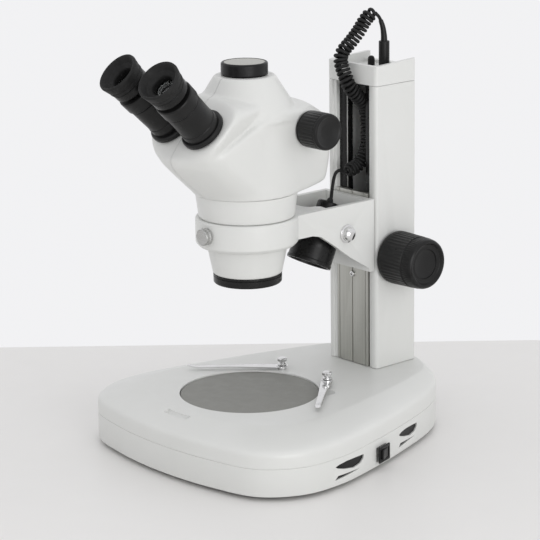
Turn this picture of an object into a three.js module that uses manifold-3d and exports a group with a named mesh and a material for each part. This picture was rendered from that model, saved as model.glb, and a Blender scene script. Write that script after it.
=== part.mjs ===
// Trinocular zoom stereo microscope on a rack-and-pinion track stand.
// Millimetres, +Z up, -Y towards the user, +X to the user's right, feet on Z = 0.
import * as THREE from 'three';
import { mergeVertices } from 'three/addons/utils/BufferGeometryUtils.js';
import { ConvexGeometry } from 'three/addons/geometries/ConvexGeometry.js';
import Module from 'manifold-3d';

const wasm = await Module();
wasm.setup();

// ---------------------------------------------------------------- driving dimensions
const GAP = 0.3;                        // air between pieces that touch
const ROUND = { large: 32, medium: 20, small: 14, tiny: 10 }; // flats on round work, by size

const BASE = { bottom: 4, wall: 44, top: 59, skin: 3.5 };
const STAGE = { y: -35, radius: 68.5, top: 58, thick: 6, ledge: 62 };
const FOOT = { radius: 10, x: 96, front: -118, rear: 128 };

const COLUMN = { half: 35, front: 105, back: 161, top: 349, corner: 4 };
const CHANNEL = { half: 23.5, back: 150 };
const CAP = { floor: 361, front: 368.6, back: 371.6, sill: 364.2, wall: 4 }; // a dish open at its back
const PLUG = { x: 11.5, y: 139, radius: 5.4 };
const DIMMER = { x: -9, y: 141 };

const LAND = { front: 110.7, back: 120 }; // the guide lands that the slider's wings run on
const SLIDER = { half: 22.3, face: 105.3, thick: 5, bottom: 59.8, top: 239.5, tongue: 13.7, depth: 117 };
const STOP_SCREW = 153;
const FOCUS = { y: 129, z: 173.5, module: 1, teeth: 14, shaft: 4 };
const KNOB = { start: 37.4, end: 84, base: 27, tip: 25 };

const OPTIC = { y: -35 };               // the vertical optical axis stands at X = 0
const RING = { radius: 50, bore: 38.7, bottom: 209.7, top: 237.5 };
const ARM = { half: 35, wall: 5.5, back: 102, top: 236.5, plate: 6, foot: 163 };
// The lamp hangs on its bolts, with its bell's own axis a little in front of them.
const LAMP = { y: 64.8, z: 207.8, lean: THREE.MathUtils.degToRad(27), forward: 3.2 };

const BARREL = { neck: 38.3, flange: 46.5, top: 262, shoulder: 49.5 };
const BOSS = { level: 404 };            // the eyetube face lies on Z = (Y - OPTIC.y) + level
const EYE = { x: 23.1, y: -105.9, z: 333.1, reach: 82.3, flange: 22 };
const EYE_PIVOT = { x: 13.1, y: -91.76, z: 347.24 };
const EYE_SWING = [-2, 28];             // degrees, the eyetubes' interpupillary range
const ZOOM = { y: 1.6, z: 324.5, side: 50, knob: 17.8, end: 78 };
const NECK = { top: 375, radius: 28 };

// ---------------------------------------------------------------- finishes
function finish(colour, roughness, metalness) {
  return new THREE.MeshStandardMaterial({ color: colour, roughness, metalness });
}
const WHITE = finish(0xdededc, 0.45, 0);
const BLACK = finish(0x262626, 0.4, 0);
const RUBBER = finish(0x1c1c1c, 0.8, 0);
const STEEL = finish(0xb8b8b4, 0.3, 1);
const CHROME = finish(0xdcdcdc, 0.12, 1);
const BRASS = finish(0xb59a55, 0.35, 1);
const ALUMINIUM = finish(0xa5a59b, 0.45, 0.6);
const GLASS = finish(0xbfd0d6, 0.05, 0);
const FROSTED = finish(0x8c8c86, 0.6, 0);
const BOARD = finish(0x2f5a3a, 0.6, 0);

// ---------------------------------------------------------------- solids
function clean(geometry) {
  const bare = geometry.index ? geometry.toNonIndexed() : geometry.clone();
  bare.deleteAttribute('normal');
  bare.deleteAttribute('uv');
  const merged = mergeVertices(bare, 1e-4);
  const index = Array.from(merged.index.array);
  const kept = [];
  for (let i = 0; i < index.length; i += 3) {
    const [a, b, c] = index.slice(i, i + 3);
    if (a !== b && b !== c && c !== a) kept.push(a, b, c);
  }
  merged.setIndex(kept);
  return merged;
}

function solid(geometry) {
  const body = clean(geometry);
  return new wasm.Manifold(new wasm.Mesh({
    numProp: 3,
    vertProperties: new Float32Array(body.attributes.position.array),
    triVerts: new Uint32Array(body.index.array),
  }));
}

function geometryOf(manifold) {
  const mesh = manifold.getMesh();
  const geometry = new THREE.BufferGeometry();
  geometry.setAttribute('position', new THREE.BufferAttribute(new Float32Array(mesh.vertProperties), 3));
  geometry.setIndex(Array.from(mesh.triVerts));
  return geometry;
}

function join(first, ...others) {
  return geometryOf(others.reduce((sum, other) => sum.add(solid(other)), solid(first)));
}

function cut(first, ...others) {
  return geometryOf(others.reduce((sum, other) => sum.subtract(solid(other)), solid(first)));
}

function common(first, second) {
  return geometryOf(solid(first).intersect(solid(second)));
}

function block(x, y, z) {
  const [x0, x1] = x;
  const [y0, y1] = y;
  const [z0, z1] = z;
  const box = new THREE.BoxGeometry(x1 - x0, y1 - y0, z1 - z0);
  return box.translate((x0 + x1) / 2, (y0 + y1) / 2, (z0 + z1) / 2);
}

// A body turned about Z from a closed profile of [radius, height] points, walked anticlockwise.
function turned(profile, segments = ROUND.medium) {
  const points = profile.map(([radius, height]) => new THREE.Vector2(radius, height));
  points.push(points[0].clone());
  return new THREE.LatheGeometry(points, segments).rotateX(Math.PI / 2);
}

function disc(radius, z0, z1, segments = ROUND.medium) {
  return turned([[0, z0], [radius, z0], [radius, z1], [0, z1]], segments);
}

function tube(outer, inner, z0, z1, segments = ROUND.medium) {
  return turned([[inner, z0], [outer, z0], [outer, z1], [inner, z1]], segments);
}

function at(x, y, z) {
  return new THREE.Vector3(x, y, z);
}

// Turns a body made about Z so that its axis runs along the given direction from a point.
function aim(geometry, direction, point) {
  const turn = new THREE.Quaternion().setFromUnitVectors(at(0, 0, 1), direction.clone().normalize());
  return geometry.applyQuaternion(turn).translate(point.x, point.y, point.z);
}

// A flat outline given as [a, b] pairs.
function outline(points) {
  return new THREE.Shape(points.map(([a, b]) => new THREE.Vector2(a, b)));
}

function upright(points, z0, z1) {
  const slab = new THREE.ExtrudeGeometry(outline(points), { depth: z1 - z0, bevelEnabled: false });
  return slab.translate(0, 0, z0);
}

// An outline of [y, z] pairs, given thickness along X.
function sideways(points, x0, x1) {
  const slab = new THREE.ExtrudeGeometry(outline(points), { depth: x1 - x0, bevelEnabled: false });
  const turn = new THREE.Matrix4().makeBasis(at(0, 1, 0), at(0, 0, 1), at(1, 0, 0));
  return slab.applyMatrix4(turn).translate(x0, 0, 0);
}

function roundedRectangle(x0, x1, y0, y1, radius) {
  const corners = [[x1, y0, -90], [x1, y1, 0], [x0, y1, 90], [x0, y0, 180]];
  const points = [];
  for (const [x, y, start] of corners) {
    const cx = x + (x === x1 ? -radius : radius);
    const cy = y + (y === y1 ? -radius : radius);
    for (let step = 0; step <= 4; step++) {
      const angle = THREE.MathUtils.degToRad(start + step * 22.5);
      points.push([cx + radius * Math.cos(angle), cy + radius * Math.sin(angle)]);
    }
  }
  return points;
}

// A closed skin through rings of equal point counts, capped at both ends by a fan.
function loft(rings) {
  const count = rings[0].length;
  const vertices = [];
  const index = [];
  for (const ring of rings) ring.forEach((point) => vertices.push(point.x, point.y, point.z));
  for (let r = 0; r + 1 < rings.length; r++) {
    for (let i = 0; i < count; i++) {
      const a = r * count + i;
      const b = r * count + (i + 1) % count;
      index.push(a, b, b + count, a, b + count, a + count);
    }
  }
  const last = (rings.length - 1) * count;
  for (const [start, flip] of [[0, true], [last, false]]) {
    const centre = vertices.length / 3;
    const sum = at(0, 0, 0);
    for (let i = 0; i < count; i++) sum.add(at(...vertices.slice(3 * (start + i), 3 * (start + i) + 3)));
    vertices.push(sum.x / count, sum.y / count, sum.z / count);
    for (let i = 0; i < count; i++) {
      const next = start + (i + 1) % count;
      index.push(centre, flip ? next : start + i, flip ? start + i : next);
    }
  }
  const geometry = new THREE.BufferGeometry();
  geometry.setAttribute('position', new THREE.Float32BufferAttribute(vertices, 3));
  geometry.setIndex(index);
  return geometry;
}

function mirrored(geometry) {
  const copy = clean(geometry).scale(-1, 1, 1);
  const index = Array.from(copy.index.array);
  for (let i = 0; i < index.length; i += 3) [index[i], index[i + 1]] = [index[i + 1], index[i]];
  copy.setIndex(index);
  return copy;
}

const microscope = new THREE.Group();

function piece(name, geometry, material) {
  const mesh = new THREE.Mesh(geometry, material);
  mesh.name = name;
  microscope.add(mesh);
}

// The same piece on the right side and, mirrored, on the left.
function pair(name, geometry, material) {
  piece(`${name}_right`, geometry, material);
  piece(`${name}_left`, mirrored(geometry), material);
}

// ---------------------------------------------------------------- base
const BASE_EDGE = [[0, -152], [70, -146], [121, -131], [146, -96], [149, -53], [138, 0],
  [118, 65], [96, 120], [75, 150], [40, 172], [0, 180]];
const PLATEAU_EDGE = [[0, -116], [52, -111], [86, -98], [104, -74], [109, -45], [103, 0],
  [90, 62], [76, 112], [62, 144], [36, 163], [0, 168]];

function closedCurve(half, samples) {
  const left = half.slice(1, -1).reverse().map(([x, y]) => [-x, y]);
  const points = half.concat(left).map(([x, y]) => at(x, y, 0));
  const curve = new THREE.CatmullRomCurve3(points, true, 'centripetal');
  return curve.getPoints(samples).slice(0, samples);
}

// Rings from the foot of the wall, over the rounded rim and up the slope to the flat top.
function baseRings(inset, drop) {
  const steps = 36;
  const outer = closedCurve(BASE_EDGE, steps);
  const inner = closedCurve(PLATEAU_EDGE, steps);
  const profile = [[0, BASE.bottom], [0, BASE.wall - 1], [0.05, BASE.wall + 3], [0.14, BASE.wall + 5.6],
    [0.5, BASE.wall + 10.6], [1, BASE.top]];
  return profile.map(([blend, z], row) => outer.map((point, i) => {
    const mixed = point.clone().lerp(inner[i], blend);
    const length = Math.hypot(mixed.x, mixed.y);
    mixed.multiplyScalar((length - inset) / length);
    return mixed.setZ(row === 0 && drop ? z - 1 : z - drop);
  }));
}

// A leaf-shaped slot with a thin wedge under it, as [y, z] outlines.
function ventCutters(y0, y1) {
  const length = y1 - y0;
  const leaf = [[0, 23.5], [0.3, 18.6], [0.62, 16], [0.86, 17.2], [0.98, 20.6], [1, 24.6], [0.36, 26]];
  const wedge = [[-0.02, 10.4], [0.88, 12.9], [0.09, 14.2]];
  return [leaf, wedge].map((shape) => sideways(shape.map(([t, z]) => [y0 + t * length, z]), 95, 160));
}

const CLIP = { x: 33.5, y: 38, reach: 96, z: 62.2 };
const SWITCH = { x: 134.4, y: 16, z: 16.5, turn: THREE.MathUtils.degToRad(16) };
const INLET = { y: 179.6, z: 24, halfWidth: 15, halfHeight: 11 };

function onSwitchWall(geometry) {
  return geometry.rotateZ(SWITCH.turn).translate(SWITCH.x, SWITCH.y, SWITCH.z);
}

function buildBase() {
  let shell = cut(loft(baseRings(0, 0)), loft(baseRings(BASE.skin, BASE.skin)));
  const ledge = tube(STAGE.radius + 5, STAGE.ledge, BASE.top - 11, BASE.top - 3, ROUND.large)
    .translate(0, STAGE.y, 0);
  const underColumn = block([-30, 30], [108, 156], [BASE.top - 8, BASE.top - 3]);
  shell = join(shell, ledge, underColumn);
  const seat = STAGE.top - STAGE.thick - GAP;
  const cutters = [
    disc(STAGE.radius + 0.6, seat, BASE.top + 1, ROUND.large).translate(0, STAGE.y, 0),
    disc(STAGE.ledge, BASE.bottom + 6, BASE.top, ROUND.large).translate(0, STAGE.y, 0),
    disc(7, BASE.top - 3, BASE.top + 1, ROUND.tiny).translate(48, STAGE.y + 51, 0),
    onSwitchWall(block([-12, 12], [-9.3, 9.3], [-7.3, 7.3])),
    block([-INLET.halfWidth + 2, INLET.halfWidth - 2], [165, 190], [INLET.z - 9, INLET.z + 9]),
  ];
  for (const [y0, y1] of [[-59, -15], [50, 88]]) {
    for (const cutter of ventCutters(y0, y1)) cutters.push(cutter, mirrored(cutter));
  }
  for (const side of [-1, 1]) {
    cutters.push(disc(2.3, BASE.top - 5, BASE.top + 1, ROUND.tiny).translate(side * CLIP.x, CLIP.y, 0));
  }
  piece('base_shell', cut(shell, ...cutters), WHITE);

  const plateEdge = closedCurve(BASE_EDGE, 44).map((point) => {
    const length = Math.hypot(point.x, point.y);
    return [point.x * (length - 6) / length, point.y * (length - 6) / length];
  });
  piece('bottom_plate', upright(plateEdge, BASE.bottom, BASE.bottom + 2), STEEL);
  const feet = [['front_right', 1, FOOT.front], ['front_left', -1, FOOT.front],
    ['rear_right', 0.62, FOOT.rear], ['rear_left', -0.62, FOOT.rear]];
  for (const [name, side, y] of feet) {
    const foot = turned([[0, 0], [FOOT.radius - 1.5, 0], [FOOT.radius, 1], [FOOT.radius, BASE.bottom - GAP],
      [0, BASE.bottom - GAP]], ROUND.small);
    piece(`foot_${name}`, foot.translate(side * FOOT.x, y, 0), RUBBER);
  }
}

// ---------------------------------------------------------------- stage and its light
function buildStage() {
  const bottom = STAGE.top - STAGE.thick;
  const plate = turned([[0, bottom], [STAGE.radius - 0.6, bottom], [STAGE.radius, bottom + 0.6],
    [STAGE.radius, STAGE.top - 0.5], [STAGE.radius - 0.5, STAGE.top], [0, STAGE.top]], ROUND.large);
  piece('stage_plate', plate.translate(0, STAGE.y, 0), FROSTED);
  const posts = [-90, 30, 150].map((degrees) => {
    const angle = THREE.MathUtils.degToRad(degrees);
    const post = disc(4, BASE.bottom + 2.3, 17, ROUND.tiny);
    return post.translate(40 * Math.cos(angle), 40 * Math.sin(angle), 0);
  });
  piece('stage_light_board', join(disc(48, 16, 18, ROUND.medium), ...posts).translate(0, STAGE.y, 0), BOARD);
  piece('power_board', block([-45, 45], [80, 130], [10, 32]), BOARD);
}

// ---------------------------------------------------------------- stage clips
function buildClips() {
  const edge = [[0, 6], [14, 5.5], [52, 3.6], [CLIP.reach, 3]];
  const leafPlan = [...edge.map(([along, half]) => [along, -half]), ...edge.reverse()];
  const leaf = cut(
    join(upright(leafPlan, 0, 0.8), disc(6, 0, 0.8, ROUND.small)),
    disc(2.3, -1, 2, ROUND.tiny),
  );
  const heading = Math.atan2(-72, 63.5);
  pair('clip_leaf', leaf.rotateZ(heading).translate(CLIP.x, CLIP.y, CLIP.z), STEEL);
  const screw = turned([[0, 52], [2, 52], [2, 59.3], [4.2, 59.3], [4.2, CLIP.z - GAP], [2, CLIP.z - GAP],
    [2, CLIP.z + 1.1], [4.4, CLIP.z + 1.1], [3, 66], [4.8, 68], [4.2, 70.8], [0, 70.8]], ROUND.tiny);
  pair('clip_screw', screw.translate(CLIP.x, CLIP.y, 0), CHROME);
}

// ---------------------------------------------------------------- power switch and inlet
function buildPower() {
  const frame = cut(
    join(block([-3.4, 2.2], [-9, 9], [-7, 7]), block([2, 3.4], [-10.2, 10.2], [-8.2, 8.2])),
    block([-2.2, 6], [-8, 8], [-5, 5]),
  );
  piece('switch_frame', onSwitchWall(frame), BLACK);
  // The rocker's section, seen from above: its front half stands out and its back half is pressed in.
  const section = [[0.4, -6.6], [5.8, -6.6], [4.6, 0], [3.2, 6.6], [0.4, 6.6]];
  piece('power_switch', onSwitchWall(upright(section, -4.6, 4.6)), BLACK);

  const flangeHeight = [INLET.z - INLET.halfHeight, INLET.z + INLET.halfHeight];
  const shell = join(
    block([-INLET.halfWidth + 2.4, INLET.halfWidth - 2.4], [158, 181], [INLET.z - 8.6, INLET.z + 8.6]),
    block([-INLET.halfWidth, INLET.halfWidth], [180.4, 182], flangeHeight),
  );
  const mouth = block([-10, 10], [163, 184], [INLET.z - 6.5, INLET.z + 6.5]);
  let inlet = cut(shell, mouth);
  for (const [x, z] of [[-6, -1], [0, 2], [6, -1]]) {
    inlet = join(inlet, block([x - 1, x + 1], [162, 177], [INLET.z + z - 2, INLET.z + z + 2]));
  }
  piece('power_inlet', inlet, BLACK);
}

// ---------------------------------------------------------------- column
function buildColumn() {
  const foot = BASE.top + GAP;
  const plan = roundedRectangle(-COLUMN.half, COLUMN.half, COLUMN.front, COLUMN.back, COLUMN.corner);
  const body = upright(plan, foot, COLUMN.top);
  const channel = block([-CHANNEL.half, CHANNEL.half], [100, CHANNEL.back], [foot + 6, COLUMN.top + 1]);
  const slot = block([-CHANNEL.half, CHANNEL.half], [100, 122], [foot - 1, foot + 7]);
  const rebate = block([-27.5, 27.5], [100, COLUMN.front + 1.4], [foot - 1, COLUMN.top + 1]);
  const bore = aim(disc(7.3, -40, 40, ROUND.small), at(1, 0, 0), at(0, FOCUS.y, FOCUS.z));
  const land = block([SLIDER.tongue + GAP, CHANNEL.half + 1], [LAND.front, LAND.back], [foot, COLUMN.top]);
  piece('column_shell', cut(join(cut(body, channel, slot, rebate), land, mirrored(land)), bore), WHITE);

  const inner = roundedRectangle(-COLUMN.half + CAP.wall, COLUMN.half - CAP.wall, COLUMN.front + CAP.wall,
    COLUMN.back - 6, 3);
  const profile = [[COLUMN.front - 1, COLUMN.top + GAP], [COLUMN.back + 1, COLUMN.top + GAP],
    [COLUMN.back + 1, CAP.back], [COLUMN.front - 1, CAP.front]];
  const cap = cut(
    common(upright(plan, COLUMN.top, CAP.back + 1), sideways(profile, -COLUMN.half - 1, COLUMN.half + 1)),
    upright(inner, CAP.floor, CAP.back + 1),
    block([-COLUMN.half + CAP.wall, COLUMN.half - CAP.wall], [COLUMN.back - 10, COLUMN.back + 1],
      [CAP.sill, CAP.back + 1]),
    block([-CHANNEL.half, CHANNEL.half], [112, CHANNEL.back], [COLUMN.top - 1, CAP.floor - 5]),
    disc(6.3, CAP.floor - 8, CAP.floor + 1, ROUND.tiny).translate(PLUG.x, PLUG.y, 0),
    disc(2.6, CAP.floor - 8, CAP.floor + 1, ROUND.tiny).translate(DIMMER.x, DIMMER.y, 0),
  );
  piece('column_cap', cap, WHITE);
  const socket = turned([[3.2, 352], [6, 352], [6, CAP.floor + GAP], [8, CAP.floor + GAP],
    [8, CAP.floor + 1.8], [3.2, CAP.floor + 1.8]], ROUND.small);
  piece('lamp_socket', socket.translate(PLUG.x, PLUG.y, 0), BLACK);
  const dimmer = turned([[0, 351], [2.3, 351], [2.3, CAP.floor + 0.6], [3.6, CAP.floor + 0.6], [3.5, 368],
    [2.8, 369.8], [1.4, 370.8], [0, 371]], ROUND.small);
  piece('dimmer_knob', dimmer.translate(DIMMER.x, DIMMER.y, 0), BLACK);
}

// ---------------------------------------------------------------- focus drive
// One involute flank of a gear with the given base radius, out to the tip.
function involute(base, tip, steps) {
  const last = Math.sqrt((tip / base) ** 2 - 1);
  const points = [];
  for (let i = 0; i <= steps; i++) {
    const roll = last * i / steps;
    points.push({ radius: base * Math.hypot(1, roll), angle: roll - Math.atan(roll) });
  }
  return points;
}

const PRESSURE = THREE.MathUtils.degToRad(20);
const BACKLASH = 0.16;

function pinionPlan() {
  const pitch = FOCUS.module * FOCUS.teeth / 2;
  const base = pitch * Math.cos(PRESSURE);
  const flank = involute(base, pitch + 0.8 * FOCUS.module, 3);
  const atPitch = Math.tan(PRESSURE) - PRESSURE;
  const halfTooth = Math.PI / (2 * FOCUS.teeth) - BACKLASH / (2 * pitch) + atPitch;
  const root = pitch - 1.2 * FOCUS.module;
  const points = [];
  for (let tooth = 0; tooth < FOCUS.teeth; tooth++) {
    const centre = 2 * Math.PI * tooth / FOCUS.teeth;
    const rising = flank.map((p) => [p.radius, centre - halfTooth + p.angle]);
    const falling = flank.map((p) => [p.radius, centre + halfTooth - p.angle]).reverse();
    points.push([root, centre - halfTooth], ...rising, ...falling, [root, centre + halfTooth]);
  }
  return points.map(([radius, angle]) => [radius * Math.cos(angle), radius * Math.sin(angle)]);
}

// Rack teeth as [y, z]; the pinion's first tooth, which points at the rack, meets a gap.
function rackPlan(bottom, top) {
  const pitchLine = FOCUS.y - FOCUS.module * FOCUS.teeth / 2;
  const step = Math.PI * FOCUS.module;
  const lean = Math.tan(PRESSURE) * FOCUS.module;
  const half = step / 4 - BACKLASH / 2;
  const points = [[SLIDER.depth + GAP, bottom]];
  const first = Math.ceil((bottom - FOCUS.z) / step) + 0.5;
  for (let tooth = first; FOCUS.z + tooth * step + step / 2 < top; tooth++) {
    const centre = FOCUS.z + tooth * step;
    points.push(
      [pitchLine - 1.2, centre - half - 1.2 * lean],
      [pitchLine + 0.8, centre - half + 0.8 * lean],
      [pitchLine + 0.8, centre + half - 0.8 * lean],
      [pitchLine - 1.2, centre + half + 1.2 * lean],
    );
  }
  points.push([SLIDER.depth + GAP, top]);
  return points;
}

function buildFocus() {
  const axle = at(0, FOCUS.y, FOCUS.z);
  const shaft = aim(disc(FOCUS.shaft, -68, 68, ROUND.small), at(1, 0, 0), axle);
  // The tooth on the local X axis is turned to point along -Y, at the rack.
  const gear = upright(pinionPlan(), -5, 5);
  gear.applyMatrix4(new THREE.Matrix4().makeBasis(at(0, -1, 0), at(0, 0, -1), at(1, 0, 0)));
  piece('pinion_shaft', join(shaft, gear.translate(0, FOCUS.y, FOCUS.z)), STEEL);
  const bush = turned([[FOCUS.shaft + 0.15, 24.5], [7, 24.5], [7, 35.3], [9.5, 35.3], [9.5, 36.9],
    [FOCUS.shaft + 0.15, 36.9]], ROUND.small);
  pair('knob_bushing', aim(bush, at(1, 0, 0), axle), BRASS);
  const knob = turned([[FOCUS.shaft + 0.2, KNOB.start], [KNOB.base - 1, KNOB.start], [KNOB.base, 52],
    [KNOB.tip, KNOB.end - 4], [KNOB.tip - 3, KNOB.end], [KNOB.tip - 8, KNOB.end - 4.4], [0, KNOB.end - 7],
    [0, 68.3], [FOCUS.shaft + 0.2, 68.3]], ROUND.large);
  pair('focus_knob', aim(knob, at(1, 0, 0), axle), BLACK);

  const { half, face, thick, bottom, top, tongue, depth } = SLIDER;
  const plate = join(
    block([-half, half], [face, face + thick], [bottom, top]),
    block([-tongue, tongue], [face + 1, depth], [bottom, top - 4]),
  );
  const groove = block([-0.8, 0.8], [face - 1, face + 0.9], [bottom - 1, top + 1]);
  const hole = aim(disc(2, 0, 12, ROUND.tiny), at(0, 1, 0), at(0, SLIDER.face - 1, STOP_SCREW));
  piece('focus_slider', cut(plate, groove, hole), ALUMINIUM);
  piece('focus_rack', sideways(rackPlan(112, 190), -4, 4), STEEL);
  const stop = turned([[0, -8], [1.7, -8], [1.7, 1.3], [2.8, 1.3], [2.8, 2.6], [2, 3], [0, 3]], ROUND.tiny);
  piece('slider_stop_screw', aim(stop, at(0, -1, 0), at(0, SLIDER.face + 1, STOP_SCREW)), STEEL);
}

// ---------------------------------------------------------------- arm
function buildArm() {
  const side = [[ARM.back, ARM.foot], [ARM.back, ARM.top], [-8, ARM.top], [-12, 209.7], [0, 213], [19, 213],
    [30, 210.4], [50, 197], [69, 183]];
  const wall = sideways(side, ARM.half - ARM.wall, ARM.half);
  const { radius, bottom, top } = RING;
  const ring = turned([[RING.bore, bottom], [radius - 3, bottom], [radius, bottom + 3], [radius, top - 1.2],
    [radius - 1.2, top], [RING.bore, top]], ROUND.large).translate(0, OPTIC.y, 0);
  // A shelf closes the top between the ring and the open tray that the lamp hangs in.
  const shelfPlan = [[-30, -10], [30, -10], [30, 42], [18, 42], [12, 32], [-12, 32], [-18, 42], [-30, 42]];
  const shelf = upright(shelfPlan, ARM.top - 7, ARM.top);
  const web = block([-ARM.half, ARM.half], [ARM.back - ARM.plate, ARM.back], [ARM.foot, ARM.top]);
  const boss = block([-20, 20], [ARM.back - 2, SLIDER.face - GAP], [ARM.foot + 2, ARM.top - 4]);
  const bore = disc(RING.bore, RING.bottom - 1, RING.top + 1, ROUND.large).translate(0, OPTIC.y, 0);
  const lampHole = aim(disc(3.4, -40, 40, ROUND.tiny), at(1, 0, 0), at(0, LAMP.y, LAMP.z));
  const lockHole = aim(disc(3.2, 30, 60, ROUND.tiny), at(0, -1, 0), at(0, OPTIC.y, 225));
  const casting = join(ring, shelf, wall, mirrored(wall), web, boss);
  piece('focus_arm', cut(casting, bore, lampHole, lockHole), WHITE);
  const thumb = turned([[0, 39], [2.9, 39], [2.9, 50.4], [8.25, 50.4], [8.25, 53], [7.2, 53.8], [8.25, 54.6],
    [7.8, 57.6], [0, 57.6]], ROUND.small);
  piece('head_lock_screw', aim(thumb, at(0, -1, 0), at(0, OPTIC.y, 225)), ALUMINIUM);
}

// ---------------------------------------------------------------- lamp
const LAMP_AXIS = at(0, Math.sin(LAMP.lean), Math.cos(LAMP.lean));

function onLamp(geometry) {
  return aim(geometry, LAMP_AXIS, at(0, LAMP.y - LAMP.forward, LAMP.z));
}

function onBolts(geometry) {
  return aim(geometry, at(1, 0, 0), at(0, LAMP.y, LAMP.z));
}

function buildLamp() {
  const bell = turned([[0, 11], [9, 11], [18.6, -9], [20.8, -36.7], [22.8, -36.7], [22.2, -19], [20.8, -8],
    [11.8, 13], [11.4, 26.4], [10, 27.6], [0, 27.6]], ROUND.medium);
  const hollow = turned([[0, 11], [0, -40], [20.8, -40], [20.8, -36.7], [18.6, -9], [9, 11]], ROUND.medium);
  const trunnion = onBolts(disc(4.6, -29, 29, ROUND.tiny));
  const socket = onBolts(disc(2.3, -40, 40, ROUND.tiny));
  piece('lamp_housing', cut(join(onLamp(bell), trunnion), onLamp(hollow), socket), BLACK);
  piece('lamp_lens', onLamp(disc(20, -34, -31.5, ROUND.medium)), GLASS);
  piece('lamp_led', onLamp(join(disc(8, 7.5, 10.7, ROUND.small), disc(2.5, 5.8, 8, ROUND.tiny))), BOARD);
  const nut = turned([[0, 20], [2, 20], [2, ARM.half + GAP], [9, ARM.half + GAP], [9, 36.4], [7.4, 37.6],
    [5.6, 41.2], [0, 43]], ROUND.medium);
  pair('lamp_bolt', onBolts(nut), CHROME);
  const boot = turned([[0, 27.9], [3.6, 27.9], [3.4, 29], [2.2, 31.6], [0, 31.6]], ROUND.tiny);
  piece('lamp_strain_relief', onLamp(boot), RUBBER);
}

// ---------------------------------------------------------------- lamp cord
const CORD = { wire: 3.4, coil: 15, relief: 6.8, ramp: 0.09 };
// The plug's soft boot, which bends over with the cord that leaves it.
const BOOT_ROUTE = [[11.5, 139, 387.5], [11.3, 138.9, 394], [10.7, 138, 402], [9.6, 136.2, 409]];
// The curly run: out of the plug, over the front of the cap, into the channel and out above the slider.
const COIL_ROUTE = [[9.4, 135.8, 410], [8.2, 133, 414.4], [6, 128, 416.4], [3.3, 121.6, 410.6],
  [0.5, 114, 399], [-2.2, 106, 389.3], [-4.1, 98.5, 381.7], [-5.1, 95.6, 375.8], [-4.2, 95, 369.6],
  [-1, 94.8, 362.1], [2.5, 95.4, 354.8], [4.6, 97.4, 347], [5.5, 103, 340], [5.7, 111, 333],
  [5.7, 118.2, 324], [5.6, 121.8, 312], [5.5, 122.3, 298], [5.2, 121.4, 285], [3.6, 118.5, 273.5],
  [1.2, 113, 265.5], [0.2, 106, 262], [0, 98, 261], [0, 92, 261.3]];
const TAIL_ROUTE = [[0, 91.4, 261.5], [0, 87.4, 262.6], [0, 83.2, 261], [0, 80.6, 256.6], [0, 78.8, 250],
  [0, 77.5, 243], [0, 76.4, 236.9]];

// A round tube along a route, its diameter given at each fraction of the way.
function cordTube(route, diameterAt, sides, steps) {
  const curve = new THREE.CatmullRomCurve3(route.map((p) => at(...p)), false, 'centripetal');
  const { normals, binormals } = curve.computeFrenetFrames(steps, false);
  const rings = [];
  for (let step = 0; step <= steps; step++) {
    const centre = curve.getPointAt(step / steps);
    const radius = diameterAt(step / steps) / 2;
    rings.push(Array.from({ length: sides }, (_, side) => {
      const angle = 2 * Math.PI * side / sides;
      return centre.clone()
        .addScaledVector(normals[step], radius * Math.cos(angle))
        .addScaledVector(binormals[step], radius * Math.sin(angle));
    }));
  }
  return loft(rings);
}

// The coil's turns open out from the straight wire at both ends.
function coilDiameter(fraction) {
  const opened = Math.min(1, fraction / CORD.ramp, (1 - fraction) / CORD.ramp);
  return CORD.wire + (CORD.coil - CORD.wire) * opened;
}

function reliefDiameter(fraction) {
  return CORD.relief + (CORD.wire + 0.8 - CORD.relief) * fraction;
}

function buildCord() {
  const barrel = turned([[0, 354], [3, 354], [3, 363.4], [PLUG.radius, 363.4], [PLUG.radius, 387.6],
    [PLUG.radius - 1, 388.6], [0, 388.6]], ROUND.small);
  const boot = cordTube(BOOT_ROUTE, reliefDiameter, 10, 8);
  piece('lamp_plug', join(barrel.translate(PLUG.x, PLUG.y, 0), boot), BLACK);
  piece('lamp_coil', cordTube(COIL_ROUTE, coilDiameter, 10, 40), RUBBER);
  piece('lamp_cord_tail', cordTube(TAIL_ROUTE, () => CORD.wire, 8, 10), RUBBER);
}

// ---------------------------------------------------------------- head barrel and objective
function buildBarrel() {
  const barrel = turned([[34, 212], [BARREL.neck, 212], [BARREL.neck, RING.top + GAP],
    [BARREL.flange, RING.top + GAP], [BARREL.flange + 0.2, RING.top + 4], [BARREL.shoulder, BARREL.top - GAP],
    [34, BARREL.top - GAP]], ROUND.large);
  piece('objective_barrel', barrel.translate(0, OPTIC.y, 0), WHITE);
  const collar = turned([[30, 181.5], [33.6, 181.5], [39.3, RING.bottom - GAP], [36, RING.bottom - GAP],
    [36, 211.7], [30, 211.7]], ROUND.large);
  piece('objective_collar', collar.translate(0, OPTIC.y, 0), WHITE);
  const bezel = [[27.5, 171.7], [32.6, 171.7], [33.5, 172.6], [33.5, 181.2], [27.5, 181.2]];
  const front = turned(bezel, ROUND.large);
  piece('objective_ring', front.translate(0, OPTIC.y, 0), BLACK);
  const lens = turned([[0, 175.5], [27.2, 177], [27.2, 181.5], [0, 181.5]], ROUND.medium);
  piece('objective_lens', lens.translate(0, OPTIC.y, 0), GLASS);
}

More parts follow.
